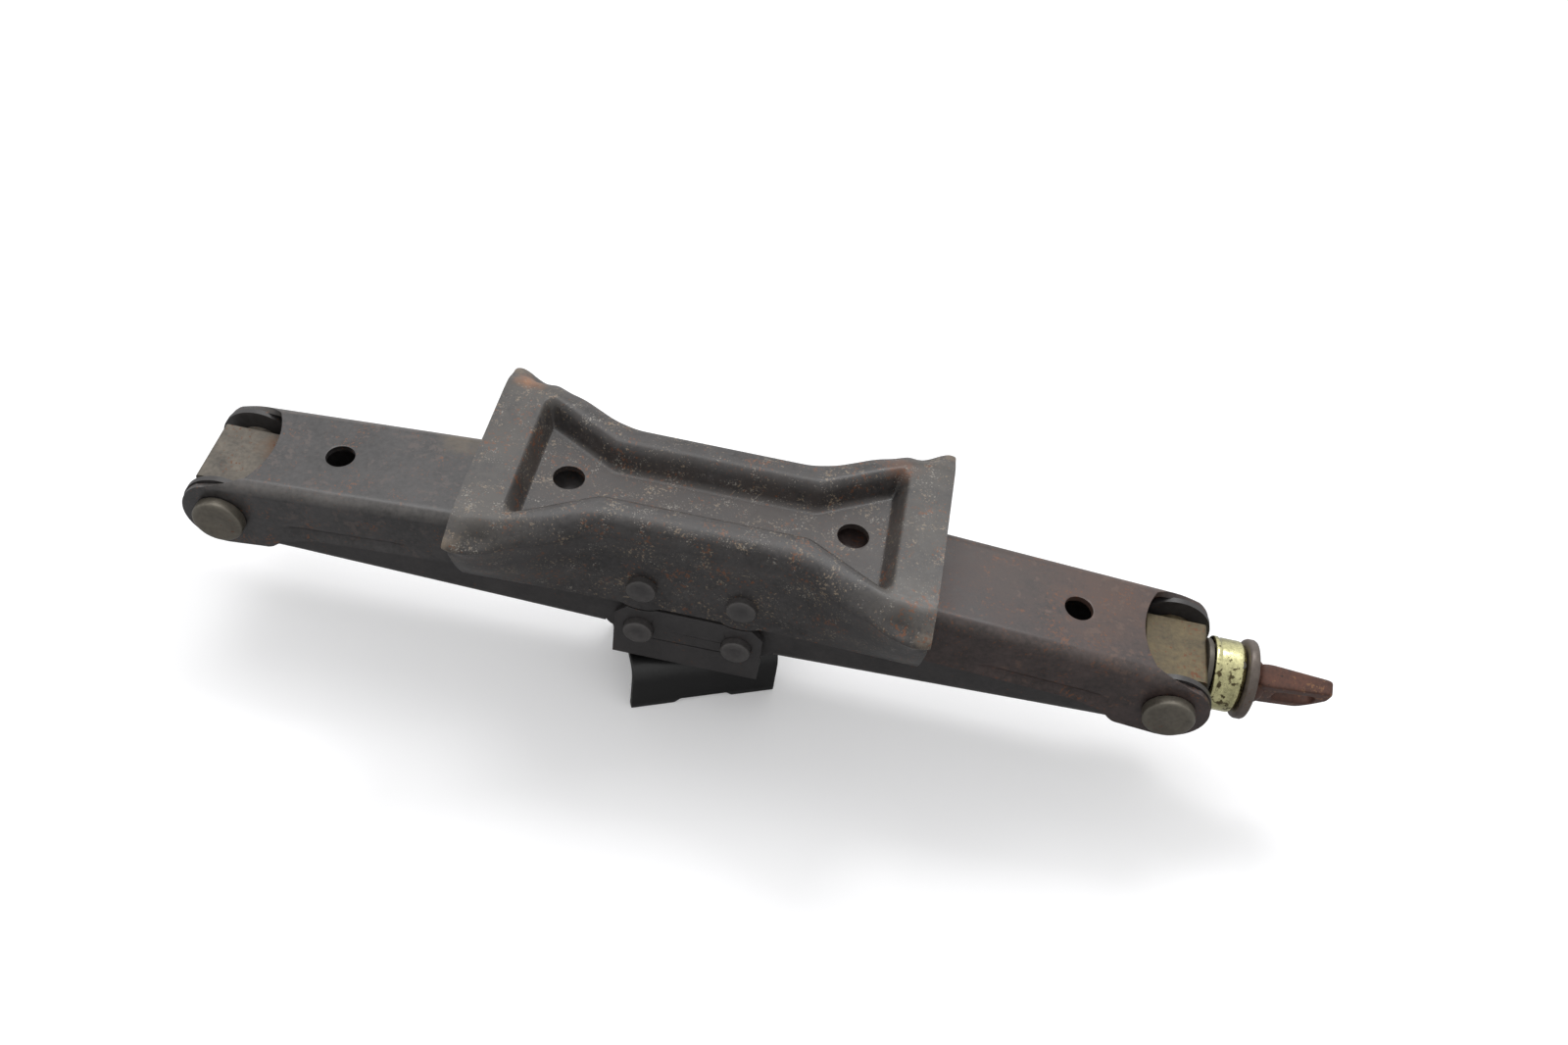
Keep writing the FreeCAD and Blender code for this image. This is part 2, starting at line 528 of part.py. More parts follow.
def make_screw():
    """Plain shank over its threads, round neck and a flat tapering eye with a slot for the crank hook."""
    body = new_body("lead_screw")
    along = "eye_root"
    profile = (("0", "-screw_start"), ("screw_radius - screw_bevel", "-screw_start"),
               ("screw_radius", "-screw_start + screw_bevel"), ("screw_radius", along),
               ("neck_radius", along), ("neck_radius", f"{along} + neck_length"),
               ("0", f"{along} + neck_length"))
    sketch = outline(new_sketch(body, "screw_profile", "XY_Plane"), [(y, r) for r, y in profile])
    shank = body.newObject("PartDesign::Revolution", "screw_shank")
    shank.Profile = sketch
    shank.ReferenceAxis = (origin_item(body, "X_Axis"), [""])
    shank.Angle = 360
    doc.recompute()
    tip, root = f"{along} + eye_length", f"{along} + 1"
    blade = outline(new_sketch(body, "eye_top", "XY_Plane"), (
        (root, "-eye_thick / 2"), (f"{along} + eye_taper_start", "-eye_thick / 2"),
        (tip, "-eye_tip_thick / 2"), (tip, "eye_tip_thick / 2"),
        (f"{along} + eye_taper_start", "eye_thick / 2"), (root, "eye_thick / 2")))
    add(body, "eye_blade", blade, "eye_width")
    trim = outline(new_sketch(body, "eye_corner"), (
        (f"{along} + eye_trim_start", "-eye_width"), (f"{tip} + 5", "-eye_width"), (f"{tip} + 5", "0"),
        (tip, "eye_trim_rise"), (f"{along} + eye_trim_start", "-eye_width / 2")))
    cut(body, "eye_corner_cut", trim, "2 * eye_thick")
    slot = new_sketch(body, "eye_slot")
    middle, half = f"({along} + eye_slot_offset)", "(eye_slot_length - eye_slot_width) / 2"
    reach = "eye_slot_width / 2"
    outline(slot, ((f"{middle} - {half}", f"-{reach}"), (f"{middle} + {half}", f"-{reach}"),
                   (f"{middle} + {half}", reach), (f"{middle} - {half}", reach)))
    cut(body, "eye_slot_middle", slot, "2 * eye_thick")
    for name, sign in (("near", "-"), ("far", "+")):
        end = circle(new_sketch(body, f"eye_slot_{name}"), f"{middle} {sign} {half}", "0", reach)
        cut(body, f"eye_slot_{name}_end", end, "2 * eye_thick")
    hole = new_sketch(body, "retainer_hole", "XY_Plane")
    circle(hole, "washer_face - retainer_offset", "0", "retainer_radius")
    cut(body, "retainer_bored", hole, "4 * screw_radius")
    put(body, ("0", "0", "0"), ((1, 0, 0), 0), angle="eye_lean")


def make_thrust_bearing():
    bore = "screw_radius + screw_bore_clearance"
    faces = (("thrust_race_inner", "trunnion_face"), ("thrust_race_outer", "outer_race_face"))
    for label, start in faces:
        turned(label, ((bore, start), ("race_radius", start), ("race_radius", f"{start} + race_thick"),
                       (bore, f"{start} + race_thick")), axis="X")
    balls = []
    for k in range(int(size["ball_count"])):
        ball = doc.addObject("Part::Sphere", "ball")
        ball.setExpression("Radius", bound("ball_radius"))
        angle = f"360 * {k} / ball_count"
        put(ball, ("ball_plane", f"ball_circle * cos({angle})", f"ball_circle * sin({angle})"))
        balls.append(ball)
    group_of("thrust_balls", balls)


def make_collar():
    """A cup over the bearing, its solid end against the dark washer."""
    wall = "race_radius + run_gap"
    floor = "outer_race_face + race_thick"
    bore = "screw_radius + press_gap"
    turned("bearing_collar", (
        (wall, "collar_start"), ("collar_radius - collar_bevel_in", "collar_start"),
        ("collar_radius", "collar_start + collar_bevel_in"),
        ("collar_radius", "washer_face - collar_bevel_out"),
        ("collar_radius - collar_bevel_out", "washer_face"), (bore, "washer_face"),
        (bore, floor), (wall, floor)), axis="X")
    body = parts[-1]
    hole = new_sketch(body, "collar_pin_hole", "XY_Plane")
    circle(hole, "0", "washer_face - retainer_offset", "retainer_radius")
    cut(body, "collar_pin_bored", hole, "4 * collar_radius")
    body.Placement = FreeCAD.Placement(body.Placement.Base, FreeCAD.Rotation(
        FreeCAD.Vector(1, 0, 0), size["eye_lean"]).multiply(FreeCAD.Rotation(FreeCAD.Vector(0, 0, 1), -90)))
    turned("thrust_washer", (
        (bore, "washer_face"), ("thrust_washer_radius - turned_bevel", "washer_face"),
        ("thrust_washer_radius", "washer_face + turned_bevel"),
        ("thrust_washer_radius", "eye_root - turned_bevel"),
        ("thrust_washer_radius - turned_bevel", "eye_root"), (bore, "eye_root")), axis="X")
    reach = "(collar_radius - retainer_short)"
    pin = turned("retaining_pin", (("0", f"-{reach}"), ("retainer_radius", f"-{reach}"),
                                   ("retainer_radius", reach), ("0", reach)),
                 axis="Z", place=("washer_face - retainer_offset", "0", "0"))
    pin.Placement = FreeCAD.Placement(pin.Placement.Base, FreeCAD.Rotation(
        FreeCAD.Vector(1, 0, 0), size["eye_lean"] + 90))


# ---------------------------------------------------------------- ground plate

def plate_sections(inset):
    """Cross-sections (x, corners) of the pressing's outside, moved in by inset; the ends flare outwards."""
    top = size["plate_top"] - inset
    edge = size["plate_edge"] - (BEYOND if inset else 0)
    waist = size["flange_outside"] - inset
    wide = size["plate_half_width"] - inset
    drop = size["plate_top"] - size["plate_edge"]
    mid = (waist + wide) / 2
    narrow = ((waist - 3.0, top), (waist, top - 4.0), (waist, top - drop * 0.6), (waist, edge))
    middle = ((mid - 4.5, top), (mid, top - 5.0), (waist + 1.5, top - drop * 0.6), (waist, edge))
    flared = ((wide - 7.5, top), (wide, top - 7.0), (waist + 8.0, top - drop * 0.75), (waist, edge))
    end, start = size["plate_half_length"], size["plate_waist_length"]
    stations = ((end, flared), (end - 10.0, flared), ((end + start) / 2 + 2.0, middle), (start, narrow))
    left = [(-x, corners) for x, corners in stations]
    return left + list(reversed(stations))


def plate_loft(inset, stretch):
    wires = []
    for x, half in plate_sections(inset):
        reach = x + math.copysign(stretch, x) if abs(x) == size["plate_half_length"] else x
        ring = [FreeCAD.Vector(reach, y, z) for y, z in half]
        ring += [FreeCAD.Vector(reach, -y, z) for y, z in reversed(half)]
        wires.append(Part.makePolygon(ring + ring[:1]))
    return Part.makeLoft(wires, True, True)


def bow_tie(grow, low, high, flare):
    """The hollow's tapering bow-tie prism, grown sideways by grow, wider at the top by flare."""
    def ring(z, more):
        ends = size["hollow_half_length"] + grow + more
        wide = size["hollow_half_width"] + grow + more
        waist = size["hollow_waist_width"] + grow + more
        inner = size["plate_waist_length"] + 4.0
        corner = [(ends, wide), (inner, waist), (-inner, waist), (-ends, wide)]
        corners = corner + [(x, -y) for x, y in reversed(corner)]
        points = [FreeCAD.Vector(x, y, z) for x, y in corners]
        return Part.makePolygon(points + points[:1])
    return Part.makeLoft([ring(low, 0.0), ring(high, flare)], True, True)


def make_base_plate():
    """The ground plate: a flared, flanged pressing with a bow-tie hollow and a lobe round each pivot pin."""
    sheet_thick = size["plate_sheet"]
    floor, top = size["plate_floor"], size["plate_top"]
    flare = size["hollow_flare"]
    shell = plate_loft(0.0, 0.0).cut(plate_loft(sheet_thick, 1.0))
    pan = bow_tie(sheet_thick, floor - sheet_thick, top - 1.0, flare - 0.5)
    inside = plate_loft(0.0, 0.0)
    shape = shell.fuse(pan.common(inside)).cut(bow_tie(0.0, floor, top, flare))
    inner, outer = size["flange_inside"], size["flange_outside"]
    for x in (-size["pivot_half_spacing"], size["pivot_half_spacing"]):
        for y in (-outer, inner):
            lobe = Part.makeCylinder(size["lobe_radius"], outer - inner,
                                     FreeCAD.Vector(x, y, size["pivot_rise"]), FreeCAD.Vector(0, 1, 0))
            shape = shape.fuse(lobe)
        bore = Part.makeCylinder(size["pivot_pin_radius"] + size["press_gap"], 4 * outer,
                                 FreeCAD.Vector(x, -2 * outer, size["pivot_rise"]), FreeCAD.Vector(0, 1, 0))
        shape = shape.cut(bore)
    for x in (-size["plate_hole_spacing"] / 2, size["plate_hole_spacing"] / 2):
        hole = Part.makeCylinder(size["plate_hole_radius"], 4 * sheet_thick,
                                 FreeCAD.Vector(x, 0, floor - 2 * sheet_thick))
        shape = shape.cut(hole)
    shaped("base_plate", shape.removeSplitter())


def shaped(label, shape):
    """A piece whose shape is worked out from the sheet's sizes in the folded frame."""
    item = doc.addObject("Part::Feature", label)
    item.Label = label
    item.Shape = shape
    item.Placement = FreeCAD.Placement(FreeCAD.Vector(0, 0, size["screw_height"]), FreeCAD.Rotation())
    parts.append(item)
    return item


# ---------------------------------------------------------------- bracket, saddle and swivel

def make_bracket():
    """A channel open upwards round the inner arms, with windows in its web for the gear teeth."""
    body = new_body("saddle_bracket")
    half, bottom, edge = "bracket_half_length", "-bracket_bottom", "-bracket_edge"
    side = outline(new_sketch(body, "bracket_side"), (
        (f"-{half}", bottom), (half, bottom), (half, f"{edge} - bracket_corner"),
        (f"{half} - bracket_corner", edge), (f"-{half} + bracket_corner", edge),
        (f"-{half}", f"{edge} - bracket_corner")))
    add(body, "bracket_blank", side, "2 * flange_outside")
    inside = outline(new_sketch(body, "bracket_inside"), (
        (f"-{BEYOND}", f"{bottom} + plate_sheet"), (f"{BEYOND}", f"{bottom} + plate_sheet"),
        (f"{BEYOND}", f"{BEYOND}"), (f"-{BEYOND}", f"{BEYOND}")))
    cut(body, "bracket_hollow", inside, "2 * flange_inside")
    for name, x in (("left", "-pivot_half_spacing"), ("right", "pivot_half_spacing")):
        bore = new_sketch(body, f"bracket_{name}_bore")
        circle(bore, x, "-pivot_rise", "pivot_pin_radius + press_gap")
        cut(body, f"bracket_{name}_bored", bore, "3 * flange_outside")
        room = circle(new_sketch(body, f"bracket_{name}_room"), x, "pivot_rise", "lobe_radius + scallop_gap")
        cut(body, f"bracket_{name}_scallop", room, "3 * flange_outside")
    for name, near, far in (("front", "-flange_inside", "-gear_window_start"),
                            ("back", "gear_window_start", "flange_inside")):
        reach = "gear_window_length"
        window = outline(new_sketch(body, f"bracket_{name}_window", "XY_Plane", f"{bottom} - 1"), (
            (f"-{reach}", near), (reach, near), (reach, far), (f"-{reach}", far)))
        cut(body, f"bracket_{name}_opened", window, "plate_sheet + 2", symmetric=False, backwards=True)
    bore = new_sketch(body, "bracket_rivet_bore", "XY_Plane", f"{bottom} - 1")
    circle(bore, "0", "0", "rivet_radius")
    cut(body, "bracket_rivet_bored", bore, "plate_sheet + 2", symmetric=False, backwards=True)
    put(body, ("0", "0", "0"))


def make_saddle():
    """A channel open downwards that takes the load between its lips, with rounded shoulders."""
    body = new_body("load_saddle")
    wide, top, bottom = "saddle_half_width", "-saddle_web", "-screw_height"
    blank = outline(new_sketch(body, "saddle_end", "YZ_Plane"), (
        (f"-{wide}", bottom), (wide, bottom), (wide, top), (f"-{wide}", top)))
    add(body, "saddle_blank", blank, "2 * saddle_half_length")
    round_edges(body, "saddle_shoulders", "saddle_shoulder",
                lambda edge: saddle_edge(edge, "saddle_half_width"))
    cradle = outline(new_sketch(body, "saddle_inside", "YZ_Plane"), (
        (f"-{wide} + saddle_wall", f"{bottom} - 1"), (f"{wide} - saddle_wall", f"{bottom} - 1"),
        (f"{wide} - saddle_wall", f"{top} - saddle_wall"),
        (f"-{wide} + saddle_wall", f"{top} - saddle_wall")))
    cut(body, "saddle_cradle", cradle, "3 * saddle_half_length")
    reach = "saddle_notch_half"
    notch = outline(new_sketch(body, "saddle_notch_side"), (
        (f"-{reach}", f"{bottom} - 1"), (reach, f"{bottom} - 1"),
        (f"{reach} - notch_slant", f"{bottom} + saddle_notch_depth"),
        (f"-{reach} + notch_slant", f"{bottom} + saddle_notch_depth")))
    cut(body, "saddle_notch", notch, "3 * saddle_half_width")
    bore = circle(new_sketch(body, "saddle_rivet_bore", "XY_Plane", f"{top} + 1"), "0", "0",
                  "rivet_radius + pin_clearance")
    cut(body, "saddle_rivet_bored", bore, "saddle_wall + 2", symmetric=False)
    put(body, ("0", "0", "0"), angle="saddle_yaw")


def saddle_edge(edge, half_width):
    box = edge.BoundBox
    return box.XLength > size["saddle_half_length"] and abs(box.ZMax + size["saddle_web"]) < 0.01 \
        and abs(abs(box.YMax) - size[half_width]) < 0.01


def make_swivel():
    web_bottom = "-bracket_bottom"
    web_top = "-bracket_bottom + plate_sheet"
    washer_top = f"{web_bottom} - run_gap"
    turned("swivel_washer", (
        ("rivet_radius + pin_clearance", "-saddle_web"), ("swivel_washer_radius", "-saddle_web"),
        ("swivel_washer_radius", washer_top), ("rivet_radius + pin_clearance", washer_top)), axis="Z")
    lower = "-saddle_web - saddle_wall - run_gap"
    turned("swivel_rivet", (
        ("0", f"{web_top} + rivet_head_thick"),
        ("rivet_head_radius - rivet_head_bevel", f"{web_top} + rivet_head_thick"),
        ("rivet_head_radius", f"{web_top}"), ("rivet_radius", f"{web_top}"), ("rivet_radius", lower),
        ("rivet_head_radius", lower), ("rivet_head_radius - rivet_head_bevel", f"{lower} - rivet_head_thick"),
        ("0", f"{lower} - rivet_head_thick")), axis="Z")


# ---------------------------------------------------------------- build, check and write

def check_all():
    doc.recompute()
    for item in doc.Objects:
        if any(word in ("Invalid", "Error") for word in item.State):
            raise RuntimeError(f"{item.Label}: {item.State}")
    for piece in parts:
        if piece.Shape.isNull() or not piece.Shape.isValid():
            raise RuntimeError(f"{piece.Label}: shape is null or not valid")


def write_all():
    os.makedirs("parts", exist_ok=True)
    for piece in parts:
        piece.Shape.exportStep(f"parts/{piece.Label}.step")
        print(f"{piece.Label}: {len(piece.Shape.Solids)} solid(s), {piece.Shape.Volume:.0f} mm3")


make_bracket()
make_saddle()
make_swivel()
make_arms()
make_pivot_pins()
make_bracket_spacers()
make_trunnions()
make_screw()
make_thrust_bearing()
make_collar()
make_base_plate()
check_all()
write_all()
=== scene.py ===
import json
import math

import bmesh
import bpy
import numpy as np
from bpy.props import FloatProperty, FloatVectorProperty, PointerProperty
from mathutils import Matrix, Vector


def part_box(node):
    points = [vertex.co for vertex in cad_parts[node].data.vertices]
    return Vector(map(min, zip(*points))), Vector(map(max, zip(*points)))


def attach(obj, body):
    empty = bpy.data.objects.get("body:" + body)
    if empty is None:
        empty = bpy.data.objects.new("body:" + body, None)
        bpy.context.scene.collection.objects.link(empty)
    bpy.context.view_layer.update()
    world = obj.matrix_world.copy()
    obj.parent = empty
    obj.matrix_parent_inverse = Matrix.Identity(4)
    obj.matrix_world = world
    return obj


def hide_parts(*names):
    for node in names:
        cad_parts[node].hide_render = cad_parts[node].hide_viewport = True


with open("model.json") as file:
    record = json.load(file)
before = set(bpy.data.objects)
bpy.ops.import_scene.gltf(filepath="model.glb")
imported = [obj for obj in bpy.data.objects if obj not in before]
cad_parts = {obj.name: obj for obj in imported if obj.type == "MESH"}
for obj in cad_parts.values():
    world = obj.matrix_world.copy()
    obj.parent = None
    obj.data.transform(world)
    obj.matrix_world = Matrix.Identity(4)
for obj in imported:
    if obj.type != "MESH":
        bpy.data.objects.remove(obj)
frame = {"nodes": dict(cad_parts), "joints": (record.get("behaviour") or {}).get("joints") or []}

bl_info = {
    "name": "Scissor Jack Maker",
    "version": (1, 0, 0),
    "blender": (4, 5, 0),
    "location": "View3D > Sidebar > Jack",
    "description": "Builds the looks of a folded scissor jack around its packed parts",
    "category": "Add Mesh",
}

MM = 0.001
FLANGE_POINTS = 25
HOLE_STEP = 0.85  # spacing of the grid round a hole, in millimetres
PLATE_HOLE = 53.1  # from the middle of the ground plate to each of its holes
PLATE_HOLE_RADIUS = 5.9
WEB_HOLE_BACK = 41.0  # from the trunnion pin back to the hole in an arm's web
WEB_HOLE_RADIUS = 5.5
HUB_RADIUS = 13.0  # plain part of an arm's geared end
PIVOT_BORE = 5.75
TIP_RADIUS, PITCH_RADIUS, ROOT_RADIUS = 20.2, 18.7, 16.6  # gear teeth
TOOTH_TURN = 18.0  # degrees from one tooth to the next
SCREW_RADIUS = 5.9
EYE_LEAN = 18.6  # degrees the crank eye is turned about the screw
SADDLE_TURN = 23.4  # degrees the load saddle is turned on its rivet
COAT_ROUGHNESS = 0.22
# Roughness under the lighter fold colour, which is partly worn paint and partly a painted highlight.
RUBBED_ROUGHNESS = 0.75  # share of a finish's lowest roughness where it is rubbed
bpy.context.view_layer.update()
SIDES = (("left", -1.0), ("right", 1.0))


# ---------------------------------------------------------------- places read from the frame

def joint_place(name):
    """The place of a joint at rest, in millimetres."""
    found = next(joint for joint in frame["joints"] if joint["name"] == name)
    return np.array(found["pos_m"]) / MM


def node_box(name):
    """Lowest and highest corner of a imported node, in millimetres."""
    low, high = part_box(name)
    return np.array(low) / MM, np.array(high) / MM


BASE_PIVOT = joint_place("base_turn")
SADDLE_PIVOT = joint_place("lift")
TRUNNION = joint_place("nut_trunnion_turn")
SCREW_LEVEL = TRUNNION[2]
ARM_LENGTH = float(np.hypot(TRUNNION[0] - BASE_PIVOT[0], TRUNNION[2] - BASE_PIVOT[2]))
REST_ANGLE = math.degrees(math.atan2(BASE_PIVOT[2] - TRUNNION[2], BASE_PIVOT[0] - TRUNNION[0]))


# ---------------------------------------------------------------- settings a user may change

def length(name, default, description):
    """A setting that is a length."""
    return FloatProperty(name=name, description=description, default=default, subtype="DISTANCE")


def shade(name, default, description):
    """A setting that is a colour."""
    return FloatVectorProperty(name=name, description=description, default=default, size=3, min=0, max=1,
        subtype="COLOR")


class JackSheetSettings(bpy.types.PropertyGroup):
    """Sizes of the pressed sheet pieces, in millimetres."""
    arm_sheet: length("Arm sheet", 2.3, "Sheet thickness of the arms")
    plate_sheet: length("Plate sheet", 2.5, "Sheet thickness of the ground plate")
    arm_fold: length("Arm fold", 4.5, "Outside radius of the arms' folds")
    plate_hollow: length("Hollow depth", 9.1, "Depth of the bow-tie hollow in the ground plate")
    bead_depth: length("Bead depth", 1.9, "How far the outer arms' beads are pressed in")
    notch_radius: length("Notch radius", 37.0, "Radius of the notch at the end of an arm's web")
    thread_pitch: length("Thread pitch", 3.0, "Pitch of the lead screw")
    thread_depth: length("Thread depth", 1.4, "Depth of the lead screw's thread")


class JackFinishSettings(bpy.types.PropertyGroup):
    """Colours of the jack's finishes."""
    paint: shade("Paint", (0.038, 0.035, 0.035), "Old black paint on the pressed sheet")
    saddle_paint: shade("Saddle paint", (0.007, 0.007, 0.007), "Blacker paint on the load saddle")
    rust: shade("Rust", (0.13, 0.050, 0.022), "Rust specks and stains")
    dust: shade("Dust", (0.20, 0.155, 0.11), "Tan rubbed metal and dried dirt")
    steel: shade("Steel", (0.135, 0.120, 0.096), "Grey-green steel of the pins")
    zinc: shade("Zinc", (0.62, 0.59, 0.32), "Yellow passivated zinc")
    eye_rust: shade("Eye rust", (0.085, 0.036, 0.024), "Red-brown rust of the crank eye")


class JackStageSettings(bpy.types.PropertyGroup):
    """Floor colour and camera."""
    azimuth: FloatProperty(name="Azimuth", description="Camera's turn to the right of the front", default=2.1)
    elevation: FloatProperty(name="Elevation", description="Camera's height angle", default=47.44)
    roll: FloatProperty(name="Roll", description="Camera's turn about its own axis", default=10.05)
    distance: length("Distance", 575.27, "Camera to target, in millimetres")
    lens: FloatProperty(name="Lens", description="Focal length for a 36 mm sensor", default=36.18)
    floor: shade("Floor", (0.86, 0.86, 0.87), "Pale floor")


# ---------------------------------------------------------------- surfaces

class Patch:
    """A grid of points, rows by columns, in millimetres, with a weight per point for wear and painted sheen.
    """
    def __init__(self, points, wear_and_sheen=0.0, closed=False, keep=None):
        self.points = np.asarray(points, float)
        self.wear_and_sheen = np.broadcast_to(np.asarray(wear_and_sheen, float), self.points.shape[:2])
        self.closed = closed
        self.keep = keep

    def quads(self, start):
        """Corners of the cells; the last column joins the first if the grid is closed."""
        rows, columns = self.points.shape[:2]
        index = start + np.arange(rows * columns).reshape(rows, columns)
        if self.closed:
            index = np.concatenate([index, index[:, :1]], axis=1)
        cells = np.stack([index[:-1, :-1], index[:-1, 1:], index[1:, 1:], index[1:, :-1]], axis=-1)
        return cells.reshape(-1, 4) if self.keep is None else cells[self.keep]


def piece(name, patches, body, stands_for, material, facing=None, sheet=0.0, bevel=0.0, angle=32):
    """One object from patches whose shared points are merged; facing is a point and the way it looks."""
    starts = np.cumsum([0] + [p.points.shape[0] * p.points.shape[1] for p in patches])
    points = np.concatenate([p.points.reshape(-1, 3) for p in patches]) * MM
    quads = np.concatenate([p.quads(start) for p, start in zip(patches, starts)])
    mesh = bpy.data.meshes.new(name)
    mesh.from_pydata(points.tolist(), [], quads.tolist())
    # Weight of the lighter fold colour, partly worn paint and partly painted highlight, kept on the mesh.
    wear_and_sheen = mesh.attributes.new("wear_and_sheen", "FLOAT", "POINT")
    wear_and_sheen.data.foreach_set("value", np.concatenate([p.wear_and_sheen.reshape(-1) for p in patches]).astype(np.float32))
    work = bmesh.new()
    work.from_mesh(mesh)
    bmesh.ops.remove_doubles(work, verts=work.verts, dist=0.01 * MM)
    bmesh.ops.delete(work, geom=[v for v in work.verts if not v.link_faces], context="VERTS")
    bmesh.ops.recalc_face_normals(work, faces=work.faces)
    if facing is not None:
        spot, way = Vector(np.asarray(facing[0]) * MM), Vector(facing[1])
        nearest = min(work.faces, key=lambda face: (face.calc_center_median() - spot).length)
        if nearest.normal.dot(way) < 0:
            bmesh.ops.reverse_faces(work, faces=work.faces)
    work.to_mesh(mesh)
    work.free()
    made = bpy.data.objects.new(name, mesh)
    bpy.context.scene.collection.objects.link(made)
    made.data.materials.append(material)
    if sheet:
        wall = made.modifiers.new("Sheet", "SOLIDIFY")
        wall.thickness, wall.offset, wall.use_even_offset = sheet * MM, -1.0, True
    soften(made, bevel, angle)
    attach(made, body)
    if stands_for:
        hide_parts(*stands_for)
    return made


def soften(made, bevel, angle=32):
    """Rounds the sharp edges with a small bevel and shades the rest smooth."""
    made.data.polygons.foreach_set("use_smooth", np.ones(len(made.data.polygons), bool))
    if bevel:
        edge = made.modifiers.new("Edges", "BEVEL")
        edge.width, edge.segments, edge.limit_method = bevel * MM, 2, "ANGLE"
        edge.angle_limit, edge.harden_normals = math.radians(angle), False
    normals = made.modifiers.new("Normals", "WEIGHTED_NORMAL")
    normals.keep_sharp, normals.weight = True, 60


def keep_node(name, material, bevel=0.25):
    """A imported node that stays: its loose triangles are welded, its edges softened and its material set."""
    node = frame["nodes"][name]
    node.data.materials.clear()
    node.data.materials.append(material)
    weld = node.modifiers.new("Weld", "WELD")
    weld.merge_threshold = 0.005 * MM
    soften(node, bevel, 40)


def smooth(low, high, value):
    """Runs from 0 at low to 1 at high with level ends."""
    t = np.clip((np.asarray(value, float) - low) / (high - low), 0.0, 1.0)
    return t * t * (3.0 - 2.0 * t)


def blended(xs, ys, at, soft=2.0):
    """A broken line through (xs, ys) with its corners averaged over a few millimetres."""
    shifts = np.linspace(-soft, soft, 9)
    return np.mean([np.interp(np.asarray(at) + shift, xs, ys) for shift in shifts], axis=0)


def rounded(corners, radii, runs, bend=7):
    """A section through corners (..., K, 2): straight runs, and a quadratic arc at each inner corner.

    Returns the section's points and a weight that is 1 at the middle of each arc and 0 on the runs.
    """
    t = np.linspace(0.0, 1.0, bend)[:, None]
    ends, pieces, weights = corners[..., 0, :], [], []
    for k in range(1, corners.shape[-2]):
        corner = corners[..., k, :]
        last = k == corners.shape[-2] - 1
        back = corners[..., k - 1, :] - corner
        back_length = np.linalg.norm(back, axis=-1, keepdims=True)
        reach = 0.0 if last else np.minimum(radii[k - 1], 0.45 * back_length)
        start = corner + back / np.maximum(back_length, 1e-9) * reach
        along = np.linspace(0.0, 1.0, runs[k - 1] + 1)[:-1, None]
        pieces.append(ends[..., None, :] * (1 - along) + start[..., None, :] * along)
        weights.append(np.zeros(runs[k - 1]))
        if last:
            pieces.append(corner[..., None, :])
            weights.append(np.zeros(1))
            break
        ahead = corners[..., k + 1, :] - corner
        ahead_length = np.linalg.norm(ahead, axis=-1, keepdims=True)
        finish = corner + ahead / np.maximum(ahead_length, 1e-9) * np.minimum(radii[k - 1],
            0.45 * ahead_length)
        arc = (1 - t) ** 2 * start[..., None, :] + 2 * t * (1 - t) * corner[..., None,
            :] + t ** 2 * finish[..., None, :]
        pieces.append(arc[..., :-1, :])
        weights.append((4 * t * (1 - t)).reshape(-1)[:-1])
        ends = finish
    return np.concatenate(pieces, axis=-2), np.concatenate(weights)


def open_hole(points, row, column, half_rows, half_columns, radius, rings=6):
    """Opens a round hole in a flat part of a grid.

    The block of cells within half_rows and half_columns of the middle point is left out, and a ring of its
    own runs from the block's rim straight in to the circle. Returns which cells stay, and the ring.
    """
    rows, columns = points.shape[:2]
    r, c = np.arange(-half_rows, half_rows + 1), np.arange(-half_columns, half_columns + 1)
    loop_r = np.concatenate([0 * c - half_rows, r[1:], 0 * c[1:] + half_rows, r[-2:0:-1]])
    loop_c = np.concatenate([c, 0 * r[1:] + half_columns, c[-2::-1], 0 * r[-2:0:-1] - half_columns])
    rim = points[row + loop_r, column + loop_c]
    away = rim - points[row, column]
    circle = points[row, column] + away / np.linalg.norm(away, axis=-1, keepdims=True) * radius
    t = np.linspace(0, 1, rings)[:, None, None]
    cell_r = np.abs(np.arange(rows - 1) + 0.5 - row)[:, None] < half_rows
    cell_c = np.abs(np.arange(columns - 1) + 0.5 - column)[None, :] < half_columns
    return ~(cell_r & cell_c), Patch(rim[None] * (1 - t) + circle[None] * t, closed=True)


def turned_patch(profile, centre, axis="Y", steps=64, wear_and_sheen=None):
    """A profile of (radius, distance along the axis) carried round its axis; axis X, Y or Z."""
    profile = np.asarray(profile, float)
    turn = np.linspace(0, 2 * np.pi, steps, endpoint=False)
    radius, along = profile[:, :1], np.repeat(profile[:, 1:2], steps, axis=1)
    one, two = radius * np.cos(turn), radius * np.sin(turn)
    order = {"X": (along, one, two), "Y": (two, along, one), "Z": (one, two, along)}[axis]
    points = np.stack(order, axis=-1) + np.asarray(centre, float)
    return Patch(points, 0.0 if wear_and_sheen is None else np.asarray(wear_and_sheen, float)[:, None], closed=True)


# ---------------------------------------------------------------- materials

def add(tree, kind, inputs=None, **settings):
    """A node with its settings and inputs; an input that is a socket is linked."""
    item = tree.nodes.new(kind)
    for key, value in settings.items():
        setattr(item, key, value)
    for key, value in (inputs or {}).items():
        if isinstance(value, bpy.types.NodeSocket):
            tree.links.new(value, item.inputs[key])
        else:
            item.inputs[key].default_value = value
    return item


def compute(tree, operation, *values, clamp=False):
    """The result of a math node on the given values."""
    return add(tree, "ShaderNodeMath", dict(enumerate(values)), operation=operation,
        use_clamp=clamp).outputs[0]


def noise(tree, place, scale, detail, roughness=0.5):
    """A noise texture's value."""
    return add(tree, "ShaderNodeTexNoise", {"Vector": place, "Scale": scale, "Detail": detail,
        "Roughness": roughness}).outputs["Fac"]


